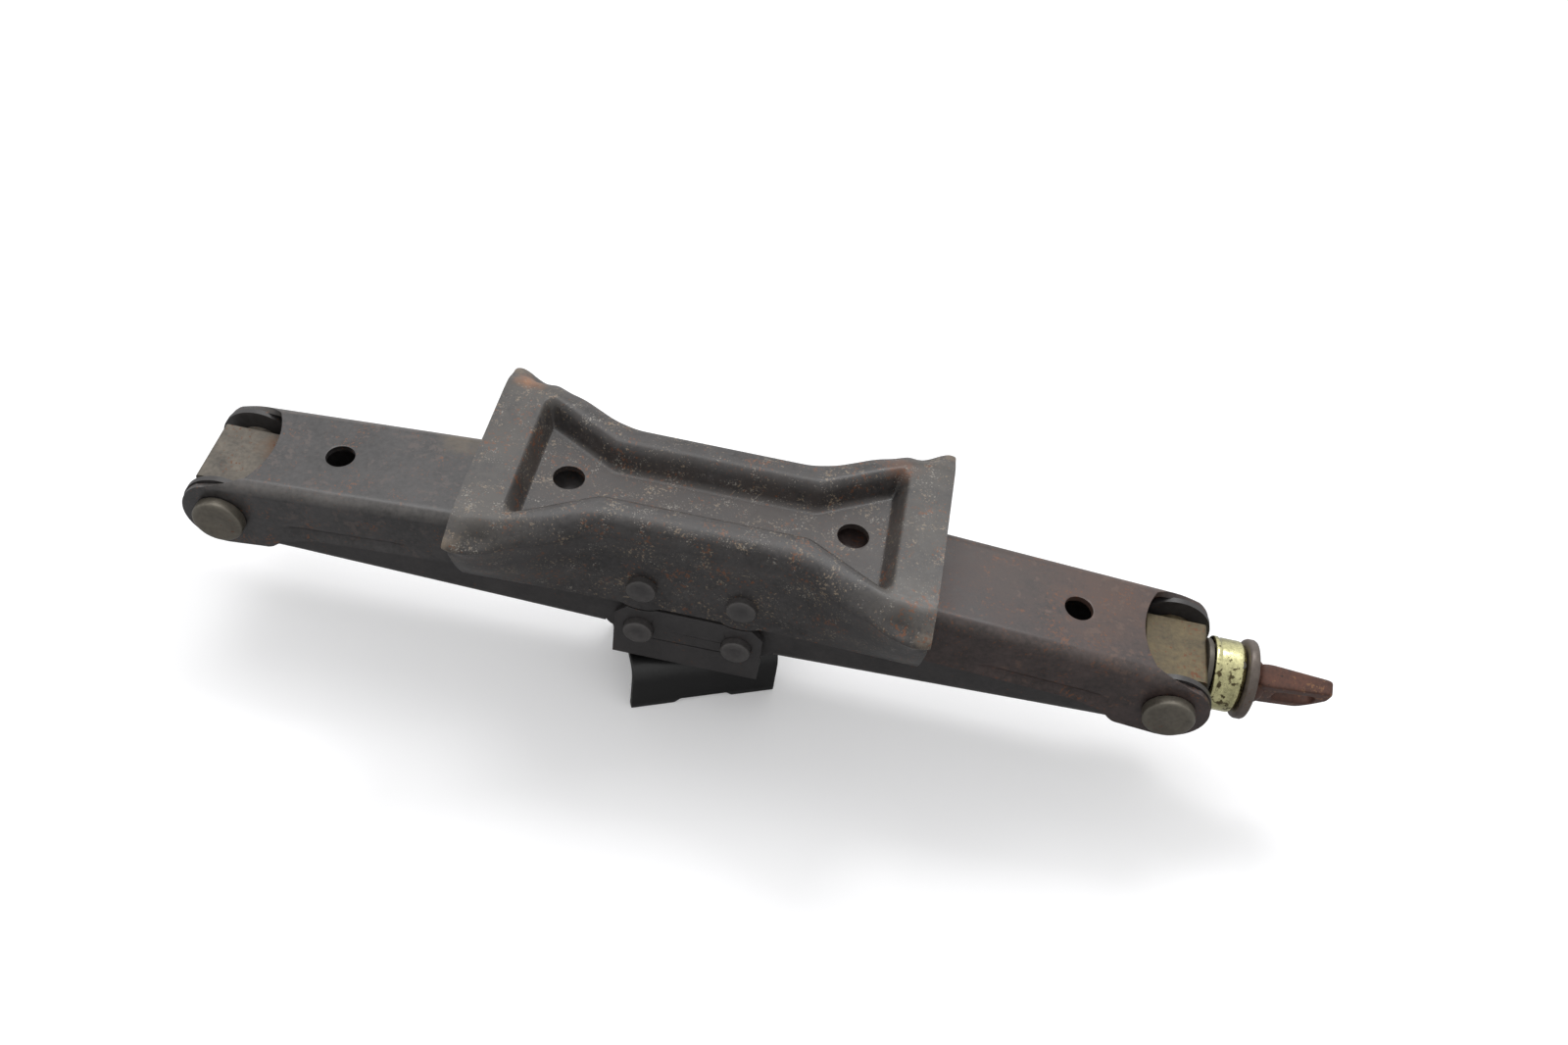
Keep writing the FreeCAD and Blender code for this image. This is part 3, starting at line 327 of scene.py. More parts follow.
def remap(tree, value, low, high, to_low=0.0, to_high=1.0):
    """Carries the range from low to high over to the range from to_low to to_high, and holds it there."""
    return add(tree, "ShaderNodeMapRange", {"Value": value, "From Min": low, "From Max": high,
        "To Min": to_low, "To Max": to_high}).outputs["Result"]


def blend(tree, factor, below, above):
    """A number between two others."""
    return add(tree, "ShaderNodeMix", {"Factor": factor, "A": below, "B": above},
        data_type="FLOAT").outputs["Result"]


def group(name, outputs, **inputs):
    """An empty node group: a place and the named inputs in, numbers out; returns the tree and its sockets."""
    tree = bpy.data.node_groups.new(name, "ShaderNodeTree")
    for label, default in {"Vector": (0, 0, 0), **inputs}.items():
        kind = "NodeSocketVector" if isinstance(default, tuple) else "NodeSocketFloat"
        tree.interface.new_socket(label, in_out="INPUT", socket_type=kind).default_value = default
    for label in outputs:
        tree.interface.new_socket(label, in_out="OUTPUT", socket_type="NodeSocketFloat")
    return tree, tree.nodes.new("NodeGroupInput").outputs, tree.nodes.new("NodeGroupOutput").inputs


def speckle_group():
    """Ragged specks: noise cut at a level, thinned by a slower noise."""
    tree, given, result = group("Specks", ("Mask",), Scale=400.0, Amount=0.5, Patchiness=0.5)
    fine = noise(tree, given["Vector"], given["Scale"], 5.0, 0.62)
    slow = noise(tree, given["Vector"], compute(tree, "MULTIPLY", given["Scale"], 0.11), 3.0)
    swing = compute(tree, "SUBTRACT", slow, 0.5)
    both = compute(tree, "ADD", fine, compute(tree, "MULTIPLY", swing, given["Patchiness"]))
    level = compute(tree, "MULTIPLY_ADD", -0.42, given["Amount"], 0.80)
    over = compute(tree, "SUBTRACT", both, level)
    tree.links.new(compute(tree, "MULTIPLY", over, 14.0, clamp=True), result["Mask"])
    return tree


def patch_group():
    """A soft-edged stain round a place: 1 at its middle, 0 past its radius, its edge broken up by noise."""
    tree, given, result = group("Stain", ("Mask",), Centre=(0, 0, 0), Radius=0.01, Ragged=0.6)
    gap = add(tree, "ShaderNodeVectorMath", {0: given["Vector"], 1: given["Centre"]}, operation="DISTANCE")
    ratio = compute(tree, "DIVIDE", gap.outputs["Value"], given["Radius"])
    swing = compute(tree, "SUBTRACT", noise(tree, given["Vector"], 220.0, 6.0, 0.65), 0.5)
    far = compute(tree, "MULTIPLY_ADD", compute(tree, "MULTIPLY", swing, given["Ragged"]), 3.0, ratio)
    tree.links.new(remap(tree, far, 1.0, 0.25), result["Mask"])
    return tree


def grain_group():
    """Fine grain over a slower unevenness, as a value round one half and a height."""
    tree, given, result = group("Grain", ("Value", "Height"), Fine=1400.0, Broad=60.0)
    fine = noise(tree, given["Vector"], given["Fine"], 4.0, 0.6)
    broad = noise(tree, given["Vector"], given["Broad"], 7.0, 0.6)
    tree.links.new(blend(tree, 0.45, broad, fine), result["Value"])
    tree.links.new(fine, result["Height"])
    return tree


GROUPS = {}


def use_group(tree, name, inputs):
    """One of the shared node groups, placed in a material."""
    return add(tree, "ShaderNodeGroup", inputs, node_tree=GROUPS[name])


def mix_colour(tree, factor, below, above):
    """The colour above laid over the colour below by the factor."""
    return add(tree, "ShaderNodeMix", {0: factor, 6: below, 7: above}, data_type="RGBA").outputs[2]


def rgba(colour, gain=1.0):
    """A colour, made brighter or darker by gain, with full cover."""
    return tuple(min(1.0, channel * gain) for channel in colour) + (1.0,)


def finish(name, colour, rough, metal=0.0, grain=(560.0, 60.0), contrast=0.35, bump=0.08, bump_size=0.02,
        specks=(), stains=(), wear_and_sheen_tint=None, coat=0.0, gloss=0.5):
    """A worn finish: a base colour with grain, specks (colour, scale, amount), stains (place, radius, colour,
    strength) and a lighter colour on the folds and edges that is partly worn paint and partly painted
    highlight."""
    made = bpy.data.materials.new(name)
    made.use_nodes = True
    tree = made.node_tree
    shader = tree.nodes["Principled BSDF"]
    place = tree.nodes.new("ShaderNodeTexCoord").outputs["Object"]
    grained = use_group(tree, "Grain", {"Vector": place, "Fine": grain[0], "Broad": grain[1]})
    value = grained.outputs["Value"]
    tint = mix_colour(tree, remap(tree, value, 0.36, 0.64), rgba(colour, 1 - contrast),
        rgba(colour, 1 + contrast))
    roughness = remap(tree, value, 0.38, 0.62, *rough)
    for spot, radius, stain, strength in stains:
        mask = use_group(tree, "Stain", {"Vector": place, "Centre": tuple(np.asarray(spot) * MM),
            "Radius": radius * MM}).outputs["Mask"]
        tint = mix_colour(tree, compute(tree, "MULTIPLY", mask, strength, clamp=True), tint, rgba(stain))
    for dot, scale, amount in specks:
        mask = use_group(tree, "Specks", {"Vector": place, "Scale": scale, "Amount": amount}).outputs["Mask"]
        tint = mix_colour(tree, mask, tint, rgba(dot))
    # Lighter colour where the weight is high: partly worn paint, partly a painted highlight along the folds.
    if wear_and_sheen_tint is not None:
        sheen_and_wear_colour, strength = wear_and_sheen_tint
        wear_and_sheen = add(tree, "ShaderNodeAttribute", attribute_name="wear_and_sheen").outputs["Fac"]
        broken = compute(tree, "MULTIPLY", wear_and_sheen, value)
        mask = compute(tree, "MULTIPLY", broken, strength, clamp=True)
        tint = mix_colour(tree, mask, tint, rgba(sheen_and_wear_colour))
        roughness = blend(tree, mask, roughness, rough[0] * RUBBED_ROUGHNESS)
    relief = add(tree, "ShaderNodeBump", {"Strength": bump, "Distance": bump_size * MM,
        "Height": grained.outputs["Height"]})
    tree.links.new(tint, shader.inputs["Base Color"])
    tree.links.new(roughness, shader.inputs["Roughness"])
    tree.links.new(relief.outputs["Normal"], shader.inputs["Normal"])
    shader.inputs["Metallic"].default_value = metal
    shader.inputs["Specular IOR Level"].default_value = gloss
    shader.inputs["Coat Weight"].default_value = coat
    shader.inputs["Coat Roughness"].default_value = COAT_ROUGHNESS
    return made


MATERIALS = {}


def paint_finishes(look):
    """Old black paint on each pressed piece, with the stains and specks of its own place."""
    paint, rust, dust = look.paint, look.rust, look.dust
    orange = (0.42, 0.17, 0.06)
    # Light grey on the folds: partly bare metal where paint is worn, partly a painted highlight along the
    # folds.
    bare_metal_and_sheen = (0.30, 0.28, 0.26)
    low, high = node_box("base_plate")
    top = high[2]
    worn = (0.074, 0.066, 0.058)
    ends = [((sign * high[0] * 0.90, y, top), 22.0, worn, 0.75) for sign in (-1, 1) for y in (-30.0, 3.0,
        34.0)]
    corners = [((x, y, top - 3), 8.0, dust, 0.7) for x in (low[0], high[0]) for y in (low[1], high[1])]
    floor = [((x, 0.0, top - 9.1), 26.0, (0.046, 0.036, 0.032), 0.8) for x in (-52.0, -18.0, 18.0, 52.0)]
    MATERIALS["plate"] = finish("plate_paint", paint, (0.36, 0.52), contrast=0.50, coat=0.12, gloss=0.4,
        bump=0.35, bump_size=0.05, specks=((dust, 1000.0, 0.44), (rust, 700.0, 0.43),
        ((0.25, 0.23, 0.20), 1500.0, 0.38)), stains=ends + corners + floor + [((-78.0, 38.0, top), 7.0,
        orange, 0.5), ((66.0, 31.0, top), 8.0, rust, 0.5)], wear_and_sheen_tint=(bare_metal_and_sheen, 0.10))
    MATERIALS["arm_left"] = finish(
        "left_arm_paint", paint, (0.34, 0.50), contrast=0.55, coat=0.32, gloss=0.4, bump=0.30, bump_size=0.05,
        specks=((rust, 900.0, 0.42), ((0.07, 0.055, 0.05), 300.0, 0.45)),
        stains=[((-98.0, 20.0, 82.0), 13.0, (0.16, 0.12, 0.075), 0.5)], wear_and_sheen_tint=(bare_metal_and_sheen, 0.42))
    MATERIALS["arm_right"] = finish("right_arm_paint", tuple(np.array(paint) * (1.25, 0.95, 0.88)),
        (0.36, 0.52), contrast=0.55, coat=0.12, gloss=0.4, bump=0.30, bump_size=0.05,
        specks=((rust, 800.0, 0.46), ((0.095, 0.058, 0.045), 260.0, 0.46)),
        stains=[((150.0, 8.0, 76.0), 28.0, (0.085, 0.048, 0.036), 0.75),
        ((112.0, 14.0, 80.0), 27.0, (0.070, 0.045, 0.036), 0.5)], wear_and_sheen_tint=(bare_metal_and_sheen, 0.15))
    MATERIALS["inner_arm"] = finish(
        "inner_arm_paint", paint, (0.36, 0.52), contrast=0.35, bump=0.25, bump_size=0.05,
        specks=((rust, 900.0, 0.28),), wear_and_sheen_tint=(bare_metal_and_sheen, 0.35))
    MATERIALS["bracket"] = finish("bracket_paint", tuple(np.array(paint) * 0.95), (0.42, 0.58),
        contrast=0.3, bump=0.2, bump_size=0.04, specks=((rust, 900.0, 0.28),))
    MATERIALS["saddle"] = finish("saddle_paint", look.saddle_paint, (0.30, 0.46), contrast=0.3, bump=0.2,
        bump_size=0.04, wear_and_sheen_tint=((0.10, 0.10, 0.10), 0.6))


def metal_finishes(look):
    """Steel, forged and plated pieces."""
    MATERIALS["pin"] = finish("pin_steel", look.steel, (0.40, 0.58), metal=0.55, contrast=0.30, bump=0.25,
        bump_size=0.04, specks=((look.rust, 500.0, 0.36),), wear_and_sheen_tint=((0.22, 0.205, 0.17), 0.9))
    MATERIALS["pivot_pin"] = finish("painted_pin", tuple(np.array(look.paint) * 1.25), (0.42, 0.58),
        contrast=0.3, bump=0.2, bump_size=0.04, wear_and_sheen_tint=((0.16, 0.15, 0.14), 0.6))
    low, high = node_box("nut_trunnion")
    MATERIALS["forging"] = finish("nut_forging", (0.120, 0.105, 0.086), (0.50, 0.72), metal=0.25,
        grain=(500.0, 90.0), contrast=0.55, bump=0.6, bump_size=0.12, specks=((look.rust, 800.0, 0.40),),
        stains=[((high[0], 6.0, high[2]), 9.0, (0.13, 0.065, 0.03), 0.7)])
    MATERIALS["thrust_forging"] = finish(
        "thrust_forging", (0.108, 0.085, 0.048), (0.42, 0.62), metal=0.45, grain=(500.0, 90.0), contrast=0.60,
        bump=0.5, bump_size=0.10, specks=((look.rust, 800.0, 0.42),))
    MATERIALS["zinc"] = finish("yellow_zinc", look.zinc, (0.16, 0.28), metal=1.0, grain=(900.0, 130.0),
        contrast=0.35, bump=0.10, bump_size=0.02, specks=(((0.10, 0.08, 0.04), 420.0, 0.50),))
    MATERIALS["dark_washer"] = finish("dark_washer", (0.135, 0.110, 0.094), (0.36, 0.55), metal=0.4,
        contrast=0.35, bump=0.3, bump_size=0.05, specks=((look.rust, 420.0, 0.36),),
        wear_and_sheen_tint=((0.12, 0.10, 0.085), 0.6))
    MATERIALS["eye"] = finish("rusty_eye", look.eye_rust, (0.48, 0.70), metal=0.15, grain=(800.0, 120.0),
        contrast=0.45, bump=0.55, bump_size=0.10, specks=(((0.20, 0.095, 0.045), 420.0, 0.48),
        ((0.030, 0.018, 0.014), 300.0, 0.42)))
    MATERIALS["thread"] = finish("oiled_thread", (0.16, 0.14, 0.12), (0.28, 0.45), metal=0.8, contrast=0.3,
        bump=0.1, wear_and_sheen_tint=((0.42, 0.40, 0.37), 0.9))
    MATERIALS["bearing"] = finish("bearing_steel", (0.11, 0.10, 0.085), (0.35, 0.50), metal=0.8,
        contrast=0.15, bump=0.05)


class JACK_OT_finishes(bpy.types.Operator):
    """Makes the shader node groups and the materials"""
    bl_idname = "jack.finishes"
    bl_label = "Finishes"

    def execute(self, context):
        GROUPS.update(Specks=speckle_group(), Stain=patch_group(), Grain=grain_group())
        paint_finishes(context.scene.jack_finish)
        metal_finishes(context.scene.jack_finish)
        return {"FINISHED"}


# ---------------------------------------------------------------- ground plate

def plate_corners(x, sheet):
    """Corners of the plate's half section at each x, from the middle of the hollow to the skirt's lower edge.

    The hollow is a bow tie: narrow at the waist, widening in straight lines to its ends, where its floor
    rises to the top. The outer fold follows the same bow tie further out, and the skirt leans out with it.
    The skirt's lower edge dips in a lobe round each pivot pin.
    """
    low, high = node_box("base_plate")
    top, end, widest = high[2], high[0], high[1]
    far = np.abs(x)
    waist = node_box("saddle_bracket")[1][1]
    fold = blended((0, 33, 42, 56, 64, 70, 78, 83, end), (waist, waist, waist + 3.2, waist + 12.5,
        waist + 15.5, waist + 20.0, widest - 0.2, widest - 0.4, widest - 2.2), far, 3.0)
    flare = (fold - waist) / (widest - waist)
    floor_half = blended((0, 38, 66.7, end), (8.5, 8.5, 25.0, 25.0), far, 2.0)
    rise = smooth(64.8, 70.2, far)
    floor = top - sheet.plate_hollow * (1 - rise)
    lobe = BASE_PIVOT[2] - np.sqrt(np.maximum(HUB_RADIUS ** 2 - (far - abs(BASE_PIVOT[0])) ** 2, 0.0))
    line = SCREW_LEVEL + 1.3 - 1.6 * (far / end) ** 2
    edge = np.maximum(np.minimum(lobe, line), low[2])
    droop = 1.4 * smooth(79.0, end, far)
    level = SCREW_LEVEL
    rows = (
        (0 * x, floor), (floor_half, floor), (floor_half + 4.3, top + 0 * x),
        (fold - 2.8 - 7.0 * flare, top - 0.35 * droop), (fold, top - 4.0 - 2.0 * flare - droop),
        (fold - 3.2 * flare, level + 33.0 + 0 * x), (waist + 8.5 * flare ** 1.3, level + 11.0 + 0 * x),
        (waist + 0.6 * flare, edge))
    return np.stack([np.stack(row, axis=-1) for row in rows], axis=1)


def plate_stations(end, hole):
    """Places along the plate: close together at the hollow's ends, evenly spaced round the hole."""
    half = np.concatenate([np.linspace(0, 38, 24), hole + HOLE_STEP * np.arange(-17, 11),
        np.linspace(62.3, 72.0, 24), np.linspace(72.7, end, 19)])
    half = np.unique(half)
    return np.concatenate([-half[:0:-1], half])


def dents(points, spots):
    """Moves the points near each spot by a bell-shaped push: (place, width, push)."""
    for place, width, push in spots:
        gap = np.linalg.norm(points - np.asarray(place, float), axis=-1)
        points += np.exp(-(gap / width) ** 2)[..., None] * np.asarray(push, float)


class JACK_OT_ground_plate(bpy.types.Operator):
    """Makes the pressed ground plate as one sheet carried along the jack"""
    bl_idname = "jack.ground_plate"
    bl_label = "Ground plate"

    def execute(self, context):
        sheet = context.scene.jack_sheet
        low, high = node_box("base_plate")
        floor_runs = 18
        x = plate_stations(high[0], PLATE_HOLE)
        half, bends = rounded(plate_corners(x, sheet), (2.2, 3.2, 6.0, 5.5, 6.0, 10.0),
            (floor_runs, 4, 5, 3, 3, 10, 6))
        place = np.concatenate([half[:, :0:-1] * (-1, 1), half], axis=1)
        points = np.concatenate([np.broadcast_to(x[:, None, None], place.shape[:2] + (1,)), place], axis=-1)
        middle = half.shape[1] - 1
        keep = np.ones((points.shape[0] - 1, points.shape[1] - 1), bool)
        rings = []
        for spot in (-PLATE_HOLE, PLATE_HOLE):
            cells, ring = open_hole(points, int(np.argmin(np.abs(x - spot))), middle, 9, 8, PLATE_HOLE_RADIUS)
            keep &= cells
            rings.append(ring)
        top = high[2]
        for sx in (-1, 1):
            for sy in (-1, 1):
                nose = (sx * 85.0, sy * (high[1] - 2.0), top - 5.0)
                dents(points, (((sx * 75.0, sy * (high[1] - 5.5), top - 4.0), 5.2, (0, -sy * 2.2, -2.0)),
                    (nose, 4.2, (sx * 0.6, sy * 2.2, 1.6)), ((sx * 86.0, sy * (high[1] - 2.5), top - 11.5),
                    3.4, (-sx * 1.6, -sy * 2.4, 0))))
        limit = np.array((high[0], high[1], top))
        points = np.clip(points, -limit, limit)
        # Weight of the lighter fold colour, strongest on the outer folds and at the ends: worn paint and
        # painted highlight.
        outer = np.where(np.arange(half.shape[1]) > floor_runs + 14, bends, 0.35 * bends)
        wear_and_sheen = np.concatenate([outer[:0:-1], outer])[None, :] * (0.55 + 0.45 * smooth(60, 84, np.abs(x)))[:,
            None]
        piece("ground_plate", [Patch(points, wear_and_sheen, keep=keep)] + rings, "base", ["base_plate"],
            MATERIALS["plate"], facing=((0, 20, top), (0, 0, 1)), sheet=sheet.plate_sheet, bevel=0.35)
        return {"FINISHED"}


# ---------------------------------------------------------------- arms

class ArmShape:
    """Sizes of one arm in its own frame: origin on the geared pivot, x to the trunnion, z to its web."""
    def __init__(self, half_width, web_near, web_far, edge, ear, fold, shoulder, first_tooth, teeth):
        self.half_width, self.web_near, self.web_far = half_width, web_near, web_far
        self.edge, self.ear, self.fold, self.shoulder = edge, ear, fold, shoulder
        self.first_tooth, self.teeth = first_tooth, teeth
        self.start = 13.5

    def web(self, x):
        """Height of the web, straight from the geared end to the trunnion end."""
        return self.web_near + (self.web_far - self.web_near) * np.clip((x - 9.0) / (ARM_LENGTH - 18.0), 0, 1)

    def ear_half(self, x):
        """Half height of the round ear at x."""
        return np.sqrt(np.maximum(self.ear ** 2 - (x - ARM_LENGTH) ** 2, 0.0))

    def flange_top(self, x):
        """Where the flange meets the fold, and past the fold's end the ear's round."""
        line = self.web(x) - self.fold
        return np.where(x > ARM_LENGTH, np.minimum(line, self.ear_half(x)), line)

    def flange_bottom(self, x):
        """The straight lower edge, the shoulder down to the ear and the ear's round."""
        line = -self.edge + 0 * x
        if self.shoulder:
            line = -blended(ARM_LENGTH - np.array((60.0, 39.0, 30.0, 21.0, 17.0, 0.0)),
                (self.edge, self.edge, 8.0, 10.9, 14.3, 15.0), x, 1.5)
        round_edge = -self.ear_half(x)
        past = np.where(x > ARM_LENGTH, round_edge, np.minimum(line, round_edge))
        return np.where(x < ARM_LENGTH - self.ear, line, past)

    def corner(self):
        """How far past the trunnion pin the ear's round meets the level where the fold ends."""
        return math.sqrt(self.ear ** 2 - (self.web_far - self.fold) ** 2)


def arm_stations(shape, hole):
    """Places along an arm: evenly spaced round the hole, and by equal turns round the ear."""
    turn = math.asin(shape.corner() / shape.ear)
    round_end = ARM_LENGTH + shape.ear * np.sin(np.concatenate([
        np.linspace(0, turn, 9), np.linspace(turn, math.pi / 2, 12)[1:]]))
    body = np.concatenate([np.linspace(shape.start, hole - 16.2, 62), hole + HOLE_STEP * np.arange(-18, 16),
        np.linspace(hole + 13.9, ARM_LENGTH - 0.8, 26)])
    return np.concatenate([body, round_end])


def flange_patch(shape, x, side, bead):
    """One flange: points spread evenly from its fold to its lower edge, pressed in along the bead."""
    spread = np.linspace(0, 1, FLANGE_POINTS)
    top, bottom = shape.flange_top(x), shape.flange_bottom(x)
    z = top[:, None] * (1 - spread) + bottom[:, None] * spread
    deep = smooth(86.0, 96.0, x) * (1 - smooth(131.0, 143.0, x))
    across = np.clip(1 - ((z + 3.4) / 3.2) ** 2, 0, 1) ** 1.5
    y = side * (shape.half_width - bead * deep[:, None] * across)
    return Patch(np.stack([np.broadcast_to(x[:, None], z.shape), y, z], axis=-1))


def web_patch(shape, x, notch_radius, hole):
    """The web and both folds: rows run along the arm, and end on the notch's arc and the ear's round."""
    flat_half, steps = shape.half_width - shape.fold, 18
    bend = np.linspace(0, math.pi / 2, 9)
    y_half = np.concatenate([np.linspace(0, flat_half, steps + 1)[:-1],
        flat_half + shape.fold * np.sin(bend)])
    drop_half = np.concatenate([np.zeros(steps), shape.fold * (1 - np.cos(bend))])
    inward = np.concatenate([np.zeros(steps), bend / (math.pi / 2)])
    y = np.concatenate([-y_half[:0:-1], y_half])
    drop = np.concatenate([drop_half[:0:-1], drop_half])
    out = np.concatenate([inward[:0:-1], inward])
    notch_middle = ARM_LENGTH - 15.5 + notch_radius
    arc = notch_middle - np.sqrt(notch_radius ** 2 - np.minimum(np.abs(y), flat_half) ** 2)
    fold_end = ARM_LENGTH + shape.corner()
    rim = arc * (1 - out) + fold_end * out - 7.0 * out * (1 - out)
    count = int(np.argmin(np.abs(x - fold_end))) + 1
    base = x[:count]
    hinge = ARM_LENGTH - 28.0
    reach = (rim[None, :] - hinge) / (fold_end - hinge)
    along = np.where(base[:, None] > hinge, hinge + (base[:, None] - hinge) * reach, base[:, None])
    z = shape.web(base)[:, None] - drop[None, :]
    points = np.stack([along, np.broadcast_to(y, along.shape), np.broadcast_to(z, along.shape)], axis=-1)
    keep, ring = None, []
    if hole:
        keep, opened = open_hole(points, int(np.argmin(np.abs(x - hole))), len(y) // 2, 9, 9, WEB_HOLE_RADIUS)
        ring.append(opened)
    # Weight of the lighter fold colour across each fold: partly worn paint, partly a painted highlight.
    wear_and_sheen = 4 * out * (1 - out)
    return [Patch(points, np.broadcast_to(wear_and_sheen, along.shape), keep=keep)] + ring


def gear_patch(shape, x, side):
    """The geared end of a flange, as rings from the bore out to its rim.

    Towards the arm the rim is the flange's first column. Round the rest it is a plain arc, and over the
    toothed part each tooth rises from the root circle to the tip circle with straight flanks.
    """
    spread = np.linspace(0, 1, FLANGE_POINTS)
    z = shape.flange_top(x[:1]) * (1 - spread) + shape.flange_bottom(x[:1]) * spread
    seam = np.degrees(np.arctan2(z, shape.start))[::-1]
    seam_radius = np.hypot(z, shape.start)[::-1]
    turn = np.concatenate([seam, np.linspace(seam[-1], 360 + seam[0], 260)[1:-1]])
    first = 180 + REST_ANGLE + TOOTH_TURN * shape.first_tooth
    centres = first + TOOTH_TURN * np.arange(shape.teeth)
    off = np.min(np.abs(turn[:, None] - centres[None, :]), axis=1)
    rise = np.interp(off, (1.8, 3.96, 5.4), (TIP_RADIUS, PITCH_RADIUS, ROOT_RADIUS))
    toothed = (turn > centres[0] - TOOTH_TURN / 2) & (turn < centres[-1] + TOOTH_TURN / 2)
    rim = np.where(toothed, rise, HUB_RADIUS)
    blend_up = smooth(seam[-1] + 32, seam[-1], turn)
    blend_down = smooth(360 + seam[0] - 22, 360 + seam[0], turn)
    up = (seam_radius[-1] - HUB_RADIUS) * blend_up * ~toothed
    down = (seam_radius[0] - HUB_RADIUS) * blend_down * ~toothed
    rim = rim + up + down
    rim[:len(seam)] = seam_radius
    ring = np.linspace(0, 1, 6)[:, None]
    radius = PIVOT_BORE * (1 - ring) + rim[None, :] * ring
    angle = np.radians(turn)[None, :]
    across = np.full(radius.shape, side * shape.half_width)
    return Patch(np.stack([radius * np.cos(angle), across, radius * np.sin(angle)], axis=-1), closed=True)


def set_in_place(patch, pivot, trunnion, web_up):
    """Carries a patch from the arm's own frame to the jack: x runs from the pivot to the trunnion."""
    along = (trunnion - pivot) / np.linalg.norm(trunnion - pivot)
    web = np.array((-along[2], 0.0, along[0])) * (1 if (along[0] > 0) == web_up else -1)
    p = patch.points
    patch.points = pivot + p[..., :1] * along + p[..., 1:2] * (0, 1, 0) + p[..., 2:] * web
    return web


def make_arm(name, shape, pivot, trunnion, web_up, sheet, hole, bead, material):
    """One arm: its web, two flanges and two geared ends, carried from the arm's own frame to the jack."""
    x = arm_stations(shape, ARM_LENGTH - WEB_HOLE_BACK)
    patches = web_patch(shape, x, sheet.notch_radius, hole)
    for side in (-1, 1):
        patches += [flange_patch(shape, x, side, bead), gear_patch(shape, x, side)]
    for patch in patches:
        web = set_in_place(patch, pivot, trunnion, web_up)
    middle = pivot + (trunnion - pivot) * 0.4 + web * shape.web(ARM_LENGTH * 0.4)
    piece(name + "_sheet", patches, name, [name], material, facing=(middle, web), sheet=sheet.arm_sheet,
        bevel=0.3)


class JACK_OT_arms(bpy.types.Operator):
    """Makes the four folded arms, each one sheet with its ears and gear teeth"""
    bl_idname = "jack.arms"
    bl_label = "Arms"

    def execute(self, context):
        sheet = context.scene.jack_sheet
        mirror = np.array((-1.0, 1.0, 1.0))
        outer_half = node_box("base_arm_left")[1][1]
        inner_half = node_box("saddle_arm_left")[1][1]
        for side, sign in SIDES:
            gears = (0.0, 4) if side == "left" else (-0.5, 5)
            outer = ArmShape(outer_half, 17.5, 17.5, 7.0, 15.0, sheet.arm_fold, True, *gears)
            inner = ArmShape(inner_half, 10.0, 15.0, 8.0, 15.5, sheet.arm_fold - 0.5, False, *gears)
            turn = np.where(sign < 0, 1.0, mirror)
            pin = TRUNNION * turn
            make_arm(f"base_arm_{side}", outer, BASE_PIVOT * turn, pin, True, sheet,
                     ARM_LENGTH - WEB_HOLE_BACK, sheet.bead_depth, MATERIALS[f"arm_{side}"])
            make_arm(f"saddle_arm_{side}", inner, SADDLE_PIVOT * turn, pin, False, sheet,
                     None, 0.0, MATERIALS["inner_arm"])
        return {"FINISHED"}


# ---------------------------------------------------------------- pins

def pin_profile(low, high, shank, head, head_from, dome=0.35):
    """Half section of a headed pin along its axis: shank, under-head, bevelled and slightly domed head."""
    return ((0.0, low), (shank - 0.5, low), (shank, low + 0.5), (shank, head_from),
        (head - 0.25, head_from), (head, head_from + 0.3), (head, high - 1.0), (head - 0.35, high - 0.45),
        (head - 1.1, high - 0.12), (head * 0.75, high), (head * 0.4, high - 0.1),
        (head * 0.22, high - dome), (0.0, high - dome))


class JACK_OT_pins(bpy.types.Operator):
    """Makes the trunnion pins and the pivot pins"""
    bl_idname = "jack.pins"
    bl_label = "Pins"

    def execute(self, context):
        for trunnion in ("nut_trunnion", "thrust_trunnion"):
            for name, sign in (("front", -1), ("back", 1)):
                node = f"{trunnion}_pin_{name}"
                low, high = node_box(node)
                ends = sorted((abs(low[1]), abs(high[1])))
                head = (high[0] - low[0]) / 2
                profile = np.array(pin_profile(ends[0], ends[1], 6.0, head, ends[1] - 4.5)) * (1, sign)
                centre = ((low[0] + high[0]) / 2, 0, (low[2] + high[2]) / 2)
                wear_and_sheen = (0, 0, 0, 0, 0, 0.2, 0.5, 1, 0.6, 0.1, 0.1, 0.3, 0.2)
                piece(f"{node}_turned", [turned_patch(profile, centre, wear_and_sheen=wear_and_sheen)], trunnion, [node],
                    MATERIALS["pin"])
        for body in ("base", "bracket"):
            for side, _ in SIDES:
                node = f"{body}_pivot_pin_{side}"
                low, high = node_box(node)
                radius, reach = (high[0] - low[0]) / 2, high[1]
                half = ((0.0, reach - 0.5), (radius * 0.35, reach - 0.45), (radius * 0.55, reach - 0.1),
                        (radius * 0.8, reach), (radius - 0.35, reach - 0.15), (radius, reach - 0.7))
                profile = np.array(half + tuple((r, -y) for r, y in reversed(half)))
                wear_and_sheen = np.array((0, 0.1, 0.4, 0.6, 1, 0.4))
                centre = ((low[0] + high[0]) / 2, 0, (low[2] + high[2]) / 2)
                piece(f"{node}_turned", [turned_patch(profile, centre, steps=48,
                    wear_and_sheen=np.r_[wear_and_sheen, wear_and_sheen[::-1]])], body, [node], MATERIALS["pivot_pin"])
        return {"FINISHED"}


# ---------------------------------------------------------------- lead screw and crank eye

